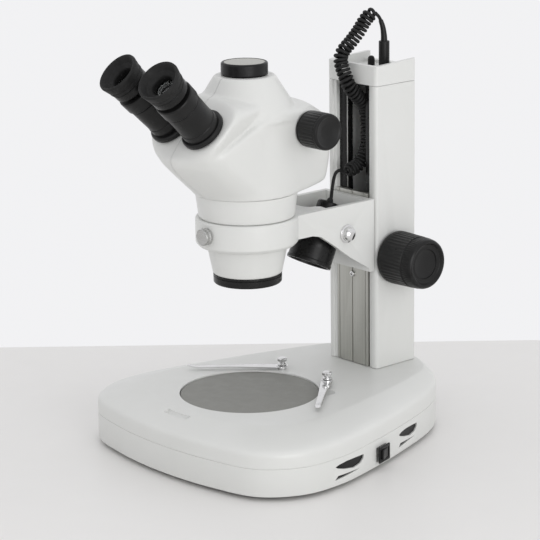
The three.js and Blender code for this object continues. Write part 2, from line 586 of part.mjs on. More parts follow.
// ---------------------------------------------------------------- head casting
// Corner points of the casting's right half as [x, y from the optical axis, z].
const HEAD_POINTS = [
  [0, -86, 287], [0, -95, 300], [0, -96, 308], [0, -90, 316.5], [26, -92, 303], [42, -78, 300],
  [46, -64, 292], [24, -88, 318], [46, -84, 320], [56, -66, 338], [54, -76, 322], [50, -54, 352],
  [30, -46, 360], [0, -50, 356], [50, -10, 352], [52, 10, 340], [50, 36, 342], [44, 46, 345],
  [50, 36, 300], [50, 20, 276], [52, -30, 290],
  [34, 76, 330], [26, 81, 331], [34, 82, 292], [26, 87, 288], [28, 80, 264], [20, 84, 266], [36, 58, 263],
  [26, 56, 346], [0, 52, 350], [0, 84, 332], [0, 90, 288], [0, 82, 264],
];

function headHull(shrink) {
  const middle = at(0, OPTIC.y, 312);
  const points = [];
  for (const [x, y, z] of HEAD_POINTS) {
    for (const side of [-1, 1]) points.push(at(side * x, y + OPTIC.y, z));
  }
  for (let i = 0; i < 20; i++) {
    const angle = Math.PI * i / 10;
    points.push(at(49.8 * Math.cos(angle), OPTIC.y + 49.8 * Math.sin(angle), BARREL.top));
  }
  const body = new ConvexGeometry(points.map((p) => p.sub(middle).multiplyScalar(shrink).add(middle)));
  const flare = NECK.radius;
  const wall = (1 - shrink) * 60;
  const neck = turned([[0, 330], [47 - wall, 330], [47 - wall, 350], [42 - wall, 356],
    [flare + 1.5 - wall, 373], [flare - 1 - wall, NECK.top - wall], [0, NECK.top - wall]], ROUND.medium);
  return join(body, neck.translate(0, OPTIC.y, 0));
}

const FACE_NORMAL = at(0, -Math.SQRT1_2, Math.SQRT1_2);
const EYE_AXIS = at(7, -59.1, 56.9).normalize();

// Turns a point of the right eyetube about its swing pivot.
function swung(point, degrees) {
  const pivot = at(EYE_PIVOT.x, EYE_PIVOT.y, EYE_PIVOT.z);
  return point.clone().sub(pivot).applyAxisAngle(FACE_NORMAL, THREE.MathUtils.degToRad(degrees)).add(pivot);
}

// The curved slot that the eyetube's stem sweeps through.
function swingSlot(radius) {
  const [low, high] = EYE_SWING;
  const steps = 6;
  const holes = [];
  for (let i = 0; i <= steps; i++) {
    const centre = swung(at(EYE.x, EYE.y, EYE.z), low + (high - low) * i / steps);
    holes.push(aim(disc(radius, -34, 12, ROUND.tiny), FACE_NORMAL, centre));
  }
  return join(...holes);
}

function buildHead() {
  const throat = disc(44, BARREL.top - 6, BARREL.top + 8, ROUND.large).translate(0, OPTIC.y, 0);
  const shell = cut(headHull(1), headHull(0.93), throat);
  const slot = swingSlot(9);
  const faceCut = aim(block([-80, 80], [-60, 60], [0, 40]), FACE_NORMAL, at(0, EYE.y, EYE.z));
  const portHole = disc(20.4, NECK.top - 30, NECK.top + 5, ROUND.medium).translate(0, OPTIC.y, 0);
  const zoomHole = aim(disc(5, -70, 70, ROUND.small), at(1, 0, 0), at(0, ZOOM.y, ZOOM.z));
  const pivot = at(EYE_PIVOT.x, EYE_PIVOT.y, EYE_PIVOT.z);
  const pivotHole = aim(disc(3.2, -30, 12, ROUND.tiny), FACE_NORMAL, pivot);
  const knobSeat = block([ZOOM.side, ZOOM.side + 20], [ZOOM.y - 24, ZOOM.y + 24], [ZOOM.z - 24, ZOOM.z + 24]);
  const opened = cut(shell, slot, mirrored(slot), faceCut, portHole, zoomHole, pivotHole, mirrored(pivotHole),
    knobSeat, mirrored(knobSeat));
  const half = common(opened, block([0.15, 80], [-160, 80], [200, 420]));
  pair('head_shell', half, WHITE);
  const tubeSeat = turned([[16, 352], [20, 352], [20, NECK.top + GAP], [16, NECK.top + GAP]], ROUND.medium);
  piece('camera_port_tube', tubeSeat.translate(0, OPTIC.y, 0), BLACK);
  const cap = turned([[0, NECK.top + 0.7], [22.4, NECK.top + 0.7], [22.6, NECK.top + 1.4], [22.6, 386],
    [21.4, 387.4], [0, 387.4]], ROUND.large);
  piece('camera_port_cap', cap.translate(0, OPTIC.y, 0), BLACK);
}

// ---------------------------------------------------------------- zoom
function buildZoom() {
  const axle = at(0, ZOOM.y, ZOOM.z);
  const shaft = join(disc(3, -66, 66, ROUND.tiny), disc(9, -6, 6, ROUND.small));
  piece('zoom_shaft', aim(shaft, at(1, 0, 0), axle), STEEL);
  const rim = ZOOM.knob;
  const knob = turned([[3.2, ZOOM.side + 0.6], [rim - 0.8, ZOOM.side + 0.6], [rim, ZOOM.side + 2],
    [rim, ZOOM.end - 3], [rim - 0.9, ZOOM.end - 1], [rim - 2.6, ZOOM.end], [rim - 5, ZOOM.end - 1.2],
    [0, ZOOM.end - 3.4], [0, 66.3], [3.2, 66.3]], ROUND.medium);
  pair('zoom_knob', aim(knob, at(1, 0, 0), axle), BLACK);
}

// ---------------------------------------------------------------- eyetubes
function buildEyetubes() {
  const face = at(EYE.x, EYE.y, EYE.z);
  const plate = turned([[6, GAP], [EYE.flange, GAP], [EYE.flange, 4.2], [20.6, 5.4], [6, 5.4]], ROUND.medium);
  const flange = aim(plate, FACE_NORMAL, face);
  const stem = aim(disc(7.6, -18, 4, ROUND.tiny), FACE_NORMAL, face);
  const shell = turned([[12, 1.8], [16.8, 1.8], [18.6, 9], [18.2, 14], [18.2, 42], [12, 42]], ROUND.medium);
  const barrel = aim(shell, EYE_AXIS, face);
  const light = aim(disc(4.9, -40, 30, ROUND.tiny), FACE_NORMAL, face);
  const prism = aim(disc(12, -19, -7, ROUND.small), FACE_NORMAL, face);
  pair('eyetube', cut(join(flange, stem, prism, barrel), light), BLACK);
  const ring = aim(tube(19.4, 13.2, 42.4, 56, ROUND.medium), EYE_AXIS, face);
  pair('diopter_ring', ring, BLACK);
  const eyepiece = turned([[10, 30], [11.6, 30], [11.6, 46.2], [12.6, 46.2], [12.6, 60], [18.6, 60],
    [18.6, 68], [10, 68]], ROUND.medium);
  pair('eyepiece', aim(eyepiece, EYE_AXIS, face), BLACK);
  const reach = EYE.reach;
  const cup = turned([[10.2, 68.4], [19.4, 68.4], [21.2, reach - 1.4], [19.8, reach], [14, reach - 6],
    [10.2, reach - 8.6]], ROUND.medium);
  pair('eyecup', aim(cup, EYE_AXIS, face), RUBBER);
  pair('eye_lens', aim(disc(9.7, 62, 67, ROUND.small), EYE_AXIS, face), GLASS);
}

buildBase();
buildStage();
buildClips();
buildPower();
buildColumn();
buildFocus();
buildArm();
buildLamp();
buildCord();
buildBarrel();
buildHead();
buildZoom();
buildEyetubes();

export default microscope;
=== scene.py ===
"""Looks for a trinocular stereo microscope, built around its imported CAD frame.

Lengths inside the builders are in millimetres, the CAD's own units, and turn into metres in link().
A profile is a list of (radius, height) or (radius, height, corner radius) points, turned about an axis.
"""

import math

import bmesh
import bpy
import numpy as np
import openvdb
from mathutils import Matrix, Quaternion, Vector


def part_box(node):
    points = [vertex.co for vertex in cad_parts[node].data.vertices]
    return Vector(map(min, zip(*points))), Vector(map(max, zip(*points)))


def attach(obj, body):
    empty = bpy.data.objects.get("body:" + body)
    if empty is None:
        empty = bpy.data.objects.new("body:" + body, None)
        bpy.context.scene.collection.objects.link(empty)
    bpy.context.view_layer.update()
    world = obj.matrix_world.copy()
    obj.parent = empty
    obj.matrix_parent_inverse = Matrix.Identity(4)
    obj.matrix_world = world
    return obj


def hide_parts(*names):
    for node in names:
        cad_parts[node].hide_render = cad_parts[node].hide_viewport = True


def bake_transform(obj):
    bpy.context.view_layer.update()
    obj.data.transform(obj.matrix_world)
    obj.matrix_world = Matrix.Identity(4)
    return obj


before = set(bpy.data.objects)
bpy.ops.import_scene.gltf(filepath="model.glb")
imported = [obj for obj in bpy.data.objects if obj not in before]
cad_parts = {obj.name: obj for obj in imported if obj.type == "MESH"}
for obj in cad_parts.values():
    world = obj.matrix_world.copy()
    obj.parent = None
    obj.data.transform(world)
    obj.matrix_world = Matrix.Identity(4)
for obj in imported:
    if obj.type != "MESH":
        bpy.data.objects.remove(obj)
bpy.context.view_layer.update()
MM = 0.001


def lowest(node):
    """A CAD node's lowest corner, in millimetres."""
    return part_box(node)[0] / MM


def highest(node):
    """A CAD node's highest corner, in millimetres."""
    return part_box(node)[1] / MM


def middle(node):
    return (lowest(node) + highest(node)) / 2


# ---- places taken from the frame
OPTIC_Y = middle("objective_barrel").y
STAGE_TOP = highest("stage_plate").z
COLUMN_FRONT = lowest("column_shell").y
COLUMN_BACK = highest("column_shell").y
COLUMN_HALF = highest("column_shell").x
SEAM = highest("column_shell").z
CAP_TOP = highest("column_cap").z
SLIDER_TOP = highest("focus_slider").z
FOCUS_AXLE = middle("pinion_shaft")
ZOOM_AXLE = middle("zoom_shaft")
RING_TOP = highest("focus_arm").z
EYE = Vector((23.1, -105.9, 333.1))
EYE_AXIS = Vector((7.0, -59.1, 56.9)).normalized()
FACE_NORMAL = Vector((0, -math.sqrt(0.5), math.sqrt(0.5)))
LAMP_PIVOT = Vector((0, middle("lamp_bolt_right").y, middle("lamp_bolt_right").z))
LAMP_LEAN = math.radians(27)
LAMP_AXIS = Vector((0, math.sin(LAMP_LEAN), math.cos(LAMP_LEAN)))
LAMP_FORWARD = 3.2
LAMP_BELL = LAMP_PIVOT - Vector((0, LAMP_FORWARD, 0))
PLUG_AT = Matrix.Translation((11.5, 139, 0))
DIMMER_AT = Matrix.Translation((-9, 141, 0))
X_AXIS = Vector((1, 0, 0))
FORWARD = Vector((0, -1, 0))
Z_AXIS = Vector((0, 0, 1))
ON_OPTIC = Matrix.Translation((0, OPTIC_Y, 0))


# ---- camera
CAMERA_AT = Vector((1.67223, -1.47583, 0.76099))
CAMERA_AZIMUTH = math.radians(48.687)
CAMERA_PITCH = math.radians(14.694)
CAMERA_ROLL = math.radians(-0.788)
CAMERA_LENS = 156.4


def add_camera():
    """A long lens, a little above the object and off to its right."""
    azimuth, pitch, roll = CAMERA_AZIMUTH, CAMERA_PITCH, CAMERA_ROLL
    level = math.cos(pitch)
    back = Vector((math.sin(azimuth) * level, -math.cos(azimuth) * level, math.sin(pitch)))
    right = Vector((math.cos(azimuth), math.sin(azimuth), 0))
    up = back.cross(right)
    tilted_right = right * math.cos(roll) + up * math.sin(roll)
    tilted_up = up * math.cos(roll) - right * math.sin(roll)
    camera = bpy.data.objects.new("camera", bpy.data.cameras.new("camera"))
    camera.data.lens = CAMERA_LENS
    camera.data.sensor_width = 36
    camera.data.clip_end = 20
    turn = Matrix((tilted_right, tilted_up, back)).transposed().to_4x4()
    camera.matrix_world = Matrix.Translation(CAMERA_AT) @ turn
    bpy.context.scene.collection.objects.link(camera)
    bpy.context.scene.camera = camera
    return back, right


VIEW_BACK, VIEW_RIGHT = add_camera()


# ---- materials
class Nodes:
    """A small helper that adds and links shader nodes."""

    def __init__(self, name):
        self.material = bpy.data.materials.new(name)
        self.material.use_nodes = True
        self.tree = self.material.node_tree
        self.shader = self.tree.nodes["Principled BSDF"]
        self.where = self.add("ShaderNodeTexCoord").outputs["Object"]

    def add(self, kind, **settings):
        node = self.tree.nodes.new(kind)
        for key, value in settings.items():
            setattr(node, key, value)
        return node

    def link(self, start, end):
        self.tree.links.new(start, end)

    def set(self, **values):
        for key, value in values.items():
            self.shader.inputs[key.replace("_", " ")].default_value = value

    def noise(self, scale, detail=3.0, roughness=0.55, stretch=None):
        node = self.add("ShaderNodeTexNoise")
        node.inputs["Scale"].default_value = scale
        node.inputs["Detail"].default_value = detail
        node.inputs["Roughness"].default_value = roughness
        source = self.where
        if stretch:
            mapping = self.add("ShaderNodeMapping")
            mapping.inputs["Scale"].default_value = stretch
            self.link(source, mapping.inputs["Vector"])
            source = mapping.outputs["Vector"]
        self.link(source, node.inputs["Vector"])
        return node.outputs["Fac"]

    def ramp(self, source, low, high, start=0.3, end=0.7):
        node = self.add("ShaderNodeMapRange")
        node.inputs["From Min"].default_value = start
        node.inputs["From Max"].default_value = end
        node.inputs["To Min"].default_value = low
        node.inputs["To Max"].default_value = high
        self.link(source, node.inputs["Value"])
        return node.outputs["Result"]

    def mix(self, factor, first, second):
        node = self.add("ShaderNodeMix", data_type="RGBA")
        self.link(factor, node.inputs["Factor"])
        node.inputs["A"].default_value = (*first, 1)
        node.inputs["B"].default_value = (*second, 1)
        return node.outputs["Result"]

    def paint(self, source, first, second):
        """The surface's colour, from the first to the second as the source goes from 0 to 1."""
        self.link(self.mix(source, first, second), self.shader.inputs["Base Color"])

    def gloss(self, source, low, high):
        self.link(self.ramp(source, low, high), self.shader.inputs["Roughness"])

    def bump(self, source, strength, distance, under=None):
        node = self.add("ShaderNodeBump")
        node.inputs["Strength"].default_value = strength
        node.inputs["Distance"].default_value = distance
        self.link(source, node.inputs["Height"])
        if under is not None:
            self.link(under, node.inputs["Normal"])
        self.link(node.outputs["Normal"], self.shader.inputs["Normal"])
        return node.outputs["Normal"]


def enamel(name, colour, shade, rough, peel):
    """Sprayed enamel: a fine orange peel, slight tone drift and uneven gloss."""
    n = Nodes(name)
    n.paint(n.ramp(n.noise(9, 4), 0, 1), colour, shade)
    n.gloss(n.noise(60, 3), rough - 0.05, rough + 0.07)
    coarse = n.bump(n.noise(420, 2), peel, 0.0002)
    n.bump(n.noise(1900, 2), peel * 0.6, 0.00008, coarse)
    n.set(IOR=1.5, Coat_Weight=0.15, Coat_Roughness=0.25)
    return n.material


def moulded(name, colour, shade, rough, grain):
    """Moulded black plastic: a fine spark-eroded grain and lighter rubbed patches."""
    n = Nodes(name)
    n.paint(n.ramp(n.noise(38, 5), 0, 1, 0.35, 0.75), colour, shade)
    n.gloss(n.noise(140, 4), rough - 0.07, rough + 0.1)
    n.bump(n.noise(2600, 2), grain, 0.00012)
    n.set(IOR=1.5, Specular_IOR_Level=0.24)
    return n.material


def metal(name, colour, shade, rough, stretch=None, depth=0.2):
    """Bare metal with tooling lines; stretch draws them out along an axis."""
    n = Nodes(name)
    lines = n.noise(500 if stretch else 90, 3, 0.6, stretch)
    n.paint(n.ramp(lines, 0, 1), colour, shade)
    n.gloss(n.noise(700 if stretch else 200, 3, 0.6, stretch), rough - 0.05, rough + 0.08)
    n.bump(lines, depth, 0.00005)
    n.set(Metallic=1.0)
    return n.material


def soft_rubber(name, colour, shade):
    n = Nodes(name)
    n.paint(n.ramp(n.noise(50, 5), 0, 1), colour, shade)
    n.gloss(n.noise(220, 3), 0.5, 0.7)
    n.bump(n.noise(1500, 3), 0.35, 0.0001)
    n.set(Specular_IOR_Level=0.28)
    return n.material


def clear_glass(name, tint, rough):
    n = Nodes(name)
    n.paint(n.ramp(n.noise(30, 2), 0, 1), tint, tuple(c * 0.96 for c in tint))
    n.gloss(n.noise(120, 2), rough, rough + 0.03)
    n.set(Transmission_Weight=1.0, IOR=1.52, Coat_Weight=0.4, Coat_Roughness=0.03)
    return n.material


def frosted_plate(name):
    """Grey frosted glass: fine grit under a dull surface."""
    n = Nodes(name)
    n.paint(n.ramp(n.noise(1600, 2), 0, 1, 0.25, 0.75), (0.255, 0.255, 0.235), (0.215, 0.215, 0.2))
    n.gloss(n.noise(90, 3), 0.5, 0.64)
    n.bump(n.noise(2200, 2), 0.3, 0.00008)
    n.set(IOR=1.5, Specular_IOR_Level=0.4)
    return n.material


def circuit(name):
    n = Nodes(name)
    n.paint(n.ramp(n.noise(300, 2), 0, 1, 0.48, 0.52), (0.02, 0.09, 0.04), (0.03, 0.14, 0.06))
    n.gloss(n.noise(100, 2), 0.35, 0.5)
    n.bump(n.noise(300, 2), 0.2, 0.0001)
    return n.material


def grey(level):
    return (level, level, level)


FINISHES = {
    "white_casting": (enamel, (0.685, 0.69, 0.672), (0.66, 0.665, 0.645), 0.4, 0.10),
    "white_plastic": (enamel, (0.70, 0.705, 0.688), (0.68, 0.685, 0.668), 0.36, 0.06),
    "black_plastic": (moulded, grey(0.008), grey(0.013), 0.34, 0.22),
    "black_metal": (moulded, grey(0.007), grey(0.011), 0.27, 0.10),
    "rubber": (soft_rubber, grey(0.008), grey(0.013)),
    "steel": (metal, (0.44, 0.44, 0.43), (0.37, 0.37, 0.36), 0.3, (1, 1, 0.03)),
    "chrome": (metal, grey(0.72), grey(0.66), 0.07, None, 0.05),
    "brass": (metal, (0.62, 0.47, 0.21), (0.52, 0.38, 0.16), 0.3),
    "aluminium": (metal, (0.52, 0.52, 0.485), (0.47, 0.47, 0.44), 0.45, (1, 1, 0.02), 0.3),
    "silver": (metal, (0.55, 0.55, 0.54), (0.46, 0.46, 0.45), 0.28, (0.05, 1, 1)),
    "glass": (clear_glass, (0.93, 0.96, 0.95), 0.02),
    "frosted_glass": (frosted_plate,),
    "circuit_board": (circuit,),
}
MATERIALS = {name: make(name, *how) for name, (make, *how) in FINISHES.items()}


# ---- mesh tools
def baked(bm, name="work"):
    """The bmesh as a mesh with its faces turned outwards; the bmesh itself goes."""
    mesh = bpy.data.meshes.new(name)
    bmesh.ops.recalc_face_normals(bm, faces=bm.faces)
    bm.to_mesh(mesh)
    bm.free()
    return mesh


def unbaked(mesh):
    """The mesh as a bmesh; the mesh itself goes."""
    bm = bmesh.new()
    bm.from_mesh(mesh)
    bpy.data.meshes.remove(mesh)
    return bm


def as_mesh(shape, name):
    return baked(shape, name) if isinstance(shape, bmesh.types.BMesh) else shape


def placed(name, data):
    """A new object in the scene, around a mesh or a light."""
    obj = bpy.data.objects.new(name, data)
    bpy.context.scene.collection.objects.link(obj)
    return obj


def link(name, shape, body, slot, replaces=(), angle=35):
    """Turns millimetres into metres; gives the piece its body, its finish and the CAD nodes it replaces."""
    mesh = as_mesh(shape, name)
    mesh.transform(Matrix.Scale(MM, 4))
    mesh.shade_smooth()
    mesh.set_sharp_from_angle(angle=math.radians(angle))
    obj = placed(name, mesh)
    mesh.materials.clear()
    mesh.materials.append(MATERIALS[slot])
    if body:
        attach(obj, body)
    if replaces:
        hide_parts(*replaces)
    return obj


def fillet(profile):
    """Rounds the corners of a profile that ask for it."""
    points = [Vector(p[:2]) for p in profile]
    rounds = [p[2] if len(p) > 2 else 0 for p in profile]
    out = []
    for i, (here, size) in enumerate(zip(points, rounds)):
        if size == 0:
            out.append(here)
            continue
        before = (points[i - 1] - here).normalized()
        after = (points[i + 1] - here).normalized()
        half = math.acos(max(-1, min(1, before.dot(after)))) / 2
        reach = size / math.tan(half)
        start, end = here + before * reach, here + after * reach
        steps = max(3, round(math.degrees(math.pi - 2 * half) / 15))
        for k in range(steps + 1):
            t = k / steps
            out.append(start * (1 - t) ** 2 + here * 2 * t * (1 - t) + end * t ** 2)
    return out


def aimed(direction, at=(0, 0, 0), spin=0.0):
    """A matrix that takes a shape made about Z to a point, with its axis along the direction."""
    turn = Quaternion(Z_AXIS.rotation_difference(Vector(direction))).to_matrix().to_4x4()
    return Matrix.Translation(at) @ turn @ Matrix.Rotation(spin, 4, "Z")


def turned(profile, segments=96, ripple=None, matrix=None):
    """A lathe body. ripple(angle, radius, height) moves a point's radius, for ribs and knurls."""
    bm = bmesh.new()
    points = fillet(profile)
    rings = []
    for point in points:
        if point.x < 1e-6:
            rings.append([bm.verts.new((0, 0, point.y))])
            continue
        ring = []
        for i in range(segments):
            angle = 2 * math.pi * i / segments
            radius = point.x + (ripple(angle, point.x, point.y) if ripple else 0)
            ring.append(bm.verts.new((radius * math.cos(angle), radius * math.sin(angle), point.y)))
        rings.append(ring)
    pairs = list(zip(rings, rings[1:]))
    if len(rings[0]) > 1 or len(rings[-1]) > 1:
        pairs.append((rings[-1], rings[0]))
    for low, high in pairs:
        for i in range(segments):
            j = (i + 1) % segments
            loop = [low[i % len(low)], low[j % len(low)], high[j % len(high)], high[i % len(high)]]
            unique = list(dict.fromkeys(loop))
            if len(unique) > 2:
                bm.faces.new(unique)
    if matrix is not None:
        bm.transform(matrix)
    return bm


def joined(*parts):
    """One mesh of several bmesh parts."""
    whole = bmesh.new()
    for part in parts:
        mesh = baked(part)
        whole.from_mesh(mesh)
        bpy.data.meshes.remove(mesh)
    return whole


def prism(outline, low, high, axis="Z", rounding=0.0, steps=3):
    """An outline given depth along an axis and rounded rims. Its points lie in the plane across the axis."""
    def place(a, b, height):
        return (height, a, b) if axis == "X" else (a, b, height)

    bm = bmesh.new()
    ring = [bm.verts.new(place(a, b, low)) for a, b in outline]
    bottom = bm.faces.new(ring)
    lifted = bmesh.ops.extrude_face_region(bm, geom=[bottom])
    top = [v for v in lifted["geom"] if isinstance(v, bmesh.types.BMVert)]
    bmesh.ops.translate(bm, verts=top, vec=Vector(place(0, 0, high - low)))
    bmesh.ops.recalc_face_normals(bm, faces=bm.faces)
    if rounding:
        rims = [e for e in bm.edges if e.calc_face_angle(0) > math.radians(30)]
        bmesh.ops.bevel(bm, geom=rims, offset=rounding, segments=steps, profile=0.5, affect="EDGES")
    return bm


def box(x, y, z, rounding=0.0, steps=3):
    outline = [(x[0], y[0]), (x[1], y[0]), (x[1], y[1]), (x[0], y[1])]
    return prism(outline, z[0], z[1], "Z", rounding, steps)


def rounded_outline(x0, x1, y0, y1, radius, steps=6):
    out = []
    for cx, cy, start in ((x1 - radius, y0 + radius, -90), (x1 - radius, y1 - radius, 0),
                          (x0 + radius, y1 - radius, 90), (x0 + radius, y0 + radius, 180)):
        for k in range(steps + 1):
            angle = math.radians(start + 90 * k / steps)
            out.append((cx + radius * math.cos(angle), cy + radius * math.sin(angle)))
    return out


def to_object(bm):
    """A throwaway object for modifiers, still in millimetres."""
    return placed("work", baked(bm))


def applied(obj):
    """The object's mesh after its modifiers; the object itself goes."""
    graph = bpy.context.evaluated_depsgraph_get()
    mesh = bpy.data.meshes.new_from_object(obj.evaluated_get(graph))
    bpy.data.objects.remove(obj)
    return mesh


def round_edges(obj, width, steps=2, angle=30):
    edge = obj.modifiers.new("edge", "BEVEL")
    edge.width = width
    edge.segments = steps
    edge.limit_method = "ANGLE"
    edge.angle_limit = math.radians(angle)


def combined(body, tools, operation, bevel=0.0, angle=40, steps=2):
    """The body after a boolean with each tool, with its sharp edges rounded afterwards."""
    target = to_object(body)
    others = [to_object(tool) for tool in tools]
    for other in others:
        modifier = target.modifiers.new("boolean", "BOOLEAN")
        modifier.operation = operation
        modifier.solver = "EXACT"
        modifier.object = other
    if bevel:
        round_edges(target, bevel, steps, angle)
    mesh = applied(target)
    for other in others:
        bpy.data.objects.remove(other)
    return mesh


def cut(body, *tools, **rounding):
    """The body less the tools."""
    return combined(body, tools, "DIFFERENCE", **rounding)


def union(*parts):
    return unbaked(combined(parts[0], parts[1:], "UNION"))


def rod(radius, low, high, matrix=None, segments=48):
    """A plain round bar between two heights, for bores, shafts and plates."""
    return turned([(0, low), (radius, low), (radius, high), (0, high)], segments, matrix=matrix)


def mirrored_mesh(mesh):
    """A copy of a mesh on the other side of X = 0."""
    other = mesh.copy()
    other.transform(Matrix.Diagonal((-1, 1, 1, 1)))
    other.flip_normals()
    return other


# ---- implicit castings
def smooth_max(a, b, k):
    h = np.clip(0.5 + 0.5 * (a - b) / k, 0, 1)
    return b + (a - b) * h + k * h * (1 - h)


def smooth_min(a, b, k):
    return -smooth_max(-a, -b, k)


def half_space(grid, normal, through):
    """Signed distance to a plane, negative on the inner side."""
    n = np.array(normal, float)
    n /= np.linalg.norm(n)
    return sum(n[i] * (grid[i] - through[i]) for i in range(3))


def revolved_field(grid, profile):
    """Inside of a turned shape about the optical axis, from (height, radius) pairs."""
    heights = [p[0] for p in profile]
    radii = [p[1] for p in profile]
    edge = np.interp(grid[2], heights, radii)
    slope = np.gradient(np.interp(np.linspace(heights[0], heights[-1], 200), heights, radii),
                        (heights[-1] - heights[0]) / 199)
    steep = np.interp(grid[2], np.linspace(heights[0], heights[-1], 200), slope)
    return (np.hypot(grid[0], grid[1] - OPTIC_Y) - edge) / np.sqrt(1 + steep ** 2)


def grid_over(low, high, step):
    axes = [np.arange(a, b + step, step) for a, b in zip(low, high)]
    return np.meshgrid(*axes, indexing="ij")


def surface(field, low, step, level=0.0):
    """The mesh where a field crosses a level."""
    grid = openvdb.FloatGrid(3 * step)
    grid.copyFromArray(np.clip(field, -3 * step, 3 * step).astype(np.float32))
    points, quads = grid.convertToQuads(isovalue=level)
    mesh = bpy.data.meshes.new("surface")
    points = np.asarray(points) * step + np.array(low)
    mesh.from_pydata(points.tolist(), [], np.asarray(quads).tolist())
    mesh.validate()
    return mesh


def relaxed(mesh, rounds=4, factor=0.5):
    """Evens out the small steps that a sampled surface keeps."""
    obj = placed("work", mesh)
    modifier = obj.modifiers.new("smooth", "SMOOTH")
    modifier.iterations = rounds
    modifier.factor = factor
    return applied(obj)


def link_pair(name, shape, body, slot, nodes=(), angle=35):
    """The right piece and its mirror image. SIDE in a body or node name becomes right or left."""
    mesh = as_mesh(shape, name)
    for side, half in (("right", mesh), ("left", mirrored_mesh(mesh))):
        names = [node.replace("SIDE", side) for node in nodes]
        link(f"{name}_{side}", half, body.replace("SIDE", side), slot, names, angle)


def knotted(p, knots, t):
    """The point at t on the Catmull-Rom span between the middle two of four points."""
    def between(a, b, start, end):
        return a.lerp(b, (t - start) / (end - start))

    first = [between(p[k], p[k + 1], knots[k], knots[k + 1]) for k in range(3)]
    second = [between(first[k], first[k + 1], knots[k], knots[k + 2]) for k in range(2)]
    return between(second[0], second[1], knots[1], knots[2])


def spline(points, per_segment, closed=False):
    """A centripetal Catmull-Rom curve through the points."""
    points = [Vector((*p, 0)[:3]) for p in points]
    if closed:
        padded = [points[-1], *points, points[0], points[1]]
    else:
        padded = [points[0] * 2 - points[1], *points, points[-1] * 2 - points[-2]]
    out = []
    for i in range(len(padded) - 3):
        p = padded[i:i + 4]
        knots = [0.0]
        for a, b in zip(p, p[1:]):
            knots.append(knots[-1] + math.sqrt((b - a).length))
        for step in range(per_segment):
            out.append(knotted(p, knots, knots[1] + (knots[2] - knots[1]) * step / per_segment))
    if not closed:
        out.append(points[-1])
    return out


def evenly(points, spacing):
    """The same line with its points a fixed distance apart."""
    line = np.array([list(p) for p in points])
    lengths = np.concatenate([[0], np.cumsum(np.linalg.norm(np.diff(line, axis=0), axis=1))])
    count = max(2, round(lengths[-1] / spacing) + 1)
    at = np.linspace(0, lengths[-1], count)
    return [Vector([np.interp(d, lengths, line[:, axis]) for axis in range(3)]) for d in at]


def frames_along(points):
    """Two sideways directions at each point that twist as little as they can."""
    tangents = []
    for i in range(len(points)):
        tangents.append((points[min(i + 1, len(points) - 1)] - points[max(i - 1, 0)]).normalized())
    side = tangents[0].cross(Vector((1, 0.3, 0.2))).normalized()
    out = []
    for before, now in zip([tangents[0], *tangents], tangents):
        side = before.rotation_difference(now) @ side
        side = (side - now * side.dot(now)).normalized()
        out.append((side.copy(), now.cross(side)))
    return out


def tube_along(points, radius, around=8):
    """A tube with closed ends. radius is a number or one number for each point."""
    bm = bmesh.new()
    radii = radius if hasattr(radius, "__len__") else [radius] * len(points)
    rings = []
    for point, (side, other), size in zip(points, frames_along(points), radii):
        ring = []
        for k in range(around):
            angle = 2 * math.pi * k / around
            ring.append(bm.verts.new(point + (side * math.cos(angle) + other * math.sin(angle)) * size))
        rings.append(ring)
    for low, high in zip(rings, rings[1:]):
        for k in range(around):
            bm.faces.new((low[k], low[(k + 1) % around], high[(k + 1) % around], high[k]))
    bm.faces.new(list(reversed(rings[0])))
    bm.faces.new(rings[-1])
    return bm


# ---- the lamp's cord
WIRE = 3.4
COIL = 15
COIL_PITCH = 4.1
COIL_LEAD_IN = 14
COIL_LEAD_OUT = 2
COIL_RAMP = 9
LINE_STEP = 0.18
WIRE_STEP = 1.3
BOOT_THICK = 3.4
BOOT_TAPER = 1.1
GRIP_RIBS = (366, 384)
BOOT_ROUTE = [(11.5, 139, 387.5), (11.3, 138.9, 394), (10.7, 138, 402), (9.6, 136.2, 409)]
COIL_ROUTE = [
    (10.7, 138, 402), (9.6, 136.2, 409), (8.2, 133, 414.4), (6, 128, 416.4), (3.3, 121.6, 410.6),
    (0.5, 114, 399), (-2.2, 106, 389.3), (-4.1, 98.5, 381.7), (-5.1, 95.6, 375.8), (-4.2, 95, 369.6),
    (-1, 94.8, 362.1), (2.5, 95.4, 354.8), (4.6, 97.4, 347), (5.5, 103, 340), (5.7, 111, 333),
    (5.7, 118.2, 324), (5.6, 121.8, 312), (5.5, 122.3, 298), (5.2, 121.4, 285), (3.6, 118.5, 273.5),
    (1.2, 113, 265.5), (0.2, 106, 262), (0, 98, 261), (0, 92, 261.3),
]
TAIL_ROUTE = [
    (0, 92, 261.3), (0, 87.4, 262.6), (0, 83.2, 261), (0, 80.6, 256.6), (0, 78.8, 250), (0, 77.5, 243),
    (0, 76.4, 236.9), (0, 75.2, 234.5),
]


def coiled(route):
    """The wire's centreline: straight, then a helix about the route, then straight again."""
    line = evenly(spline(route, 24), LINE_STEP)
    along = np.arange(len(line)) * LINE_STEP
    total = along[-1]
    size = (COIL - WIRE) / 2
    out = []
    for point, (side, other), d in zip(line, frames_along(line), along):
        started = max(0, (d - COIL_LEAD_IN) / COIL_RAMP)
        left = max(0, (total - COIL_LEAD_OUT - d) / COIL_RAMP)
        grown = min(1, started, left)
        radius = size * grown * grown * (3 - 2 * grown)
        angle = 2 * math.pi * d / COIL_PITCH
        out.append(point + (side * math.cos(angle) + other * math.sin(angle)) * radius)
    return out


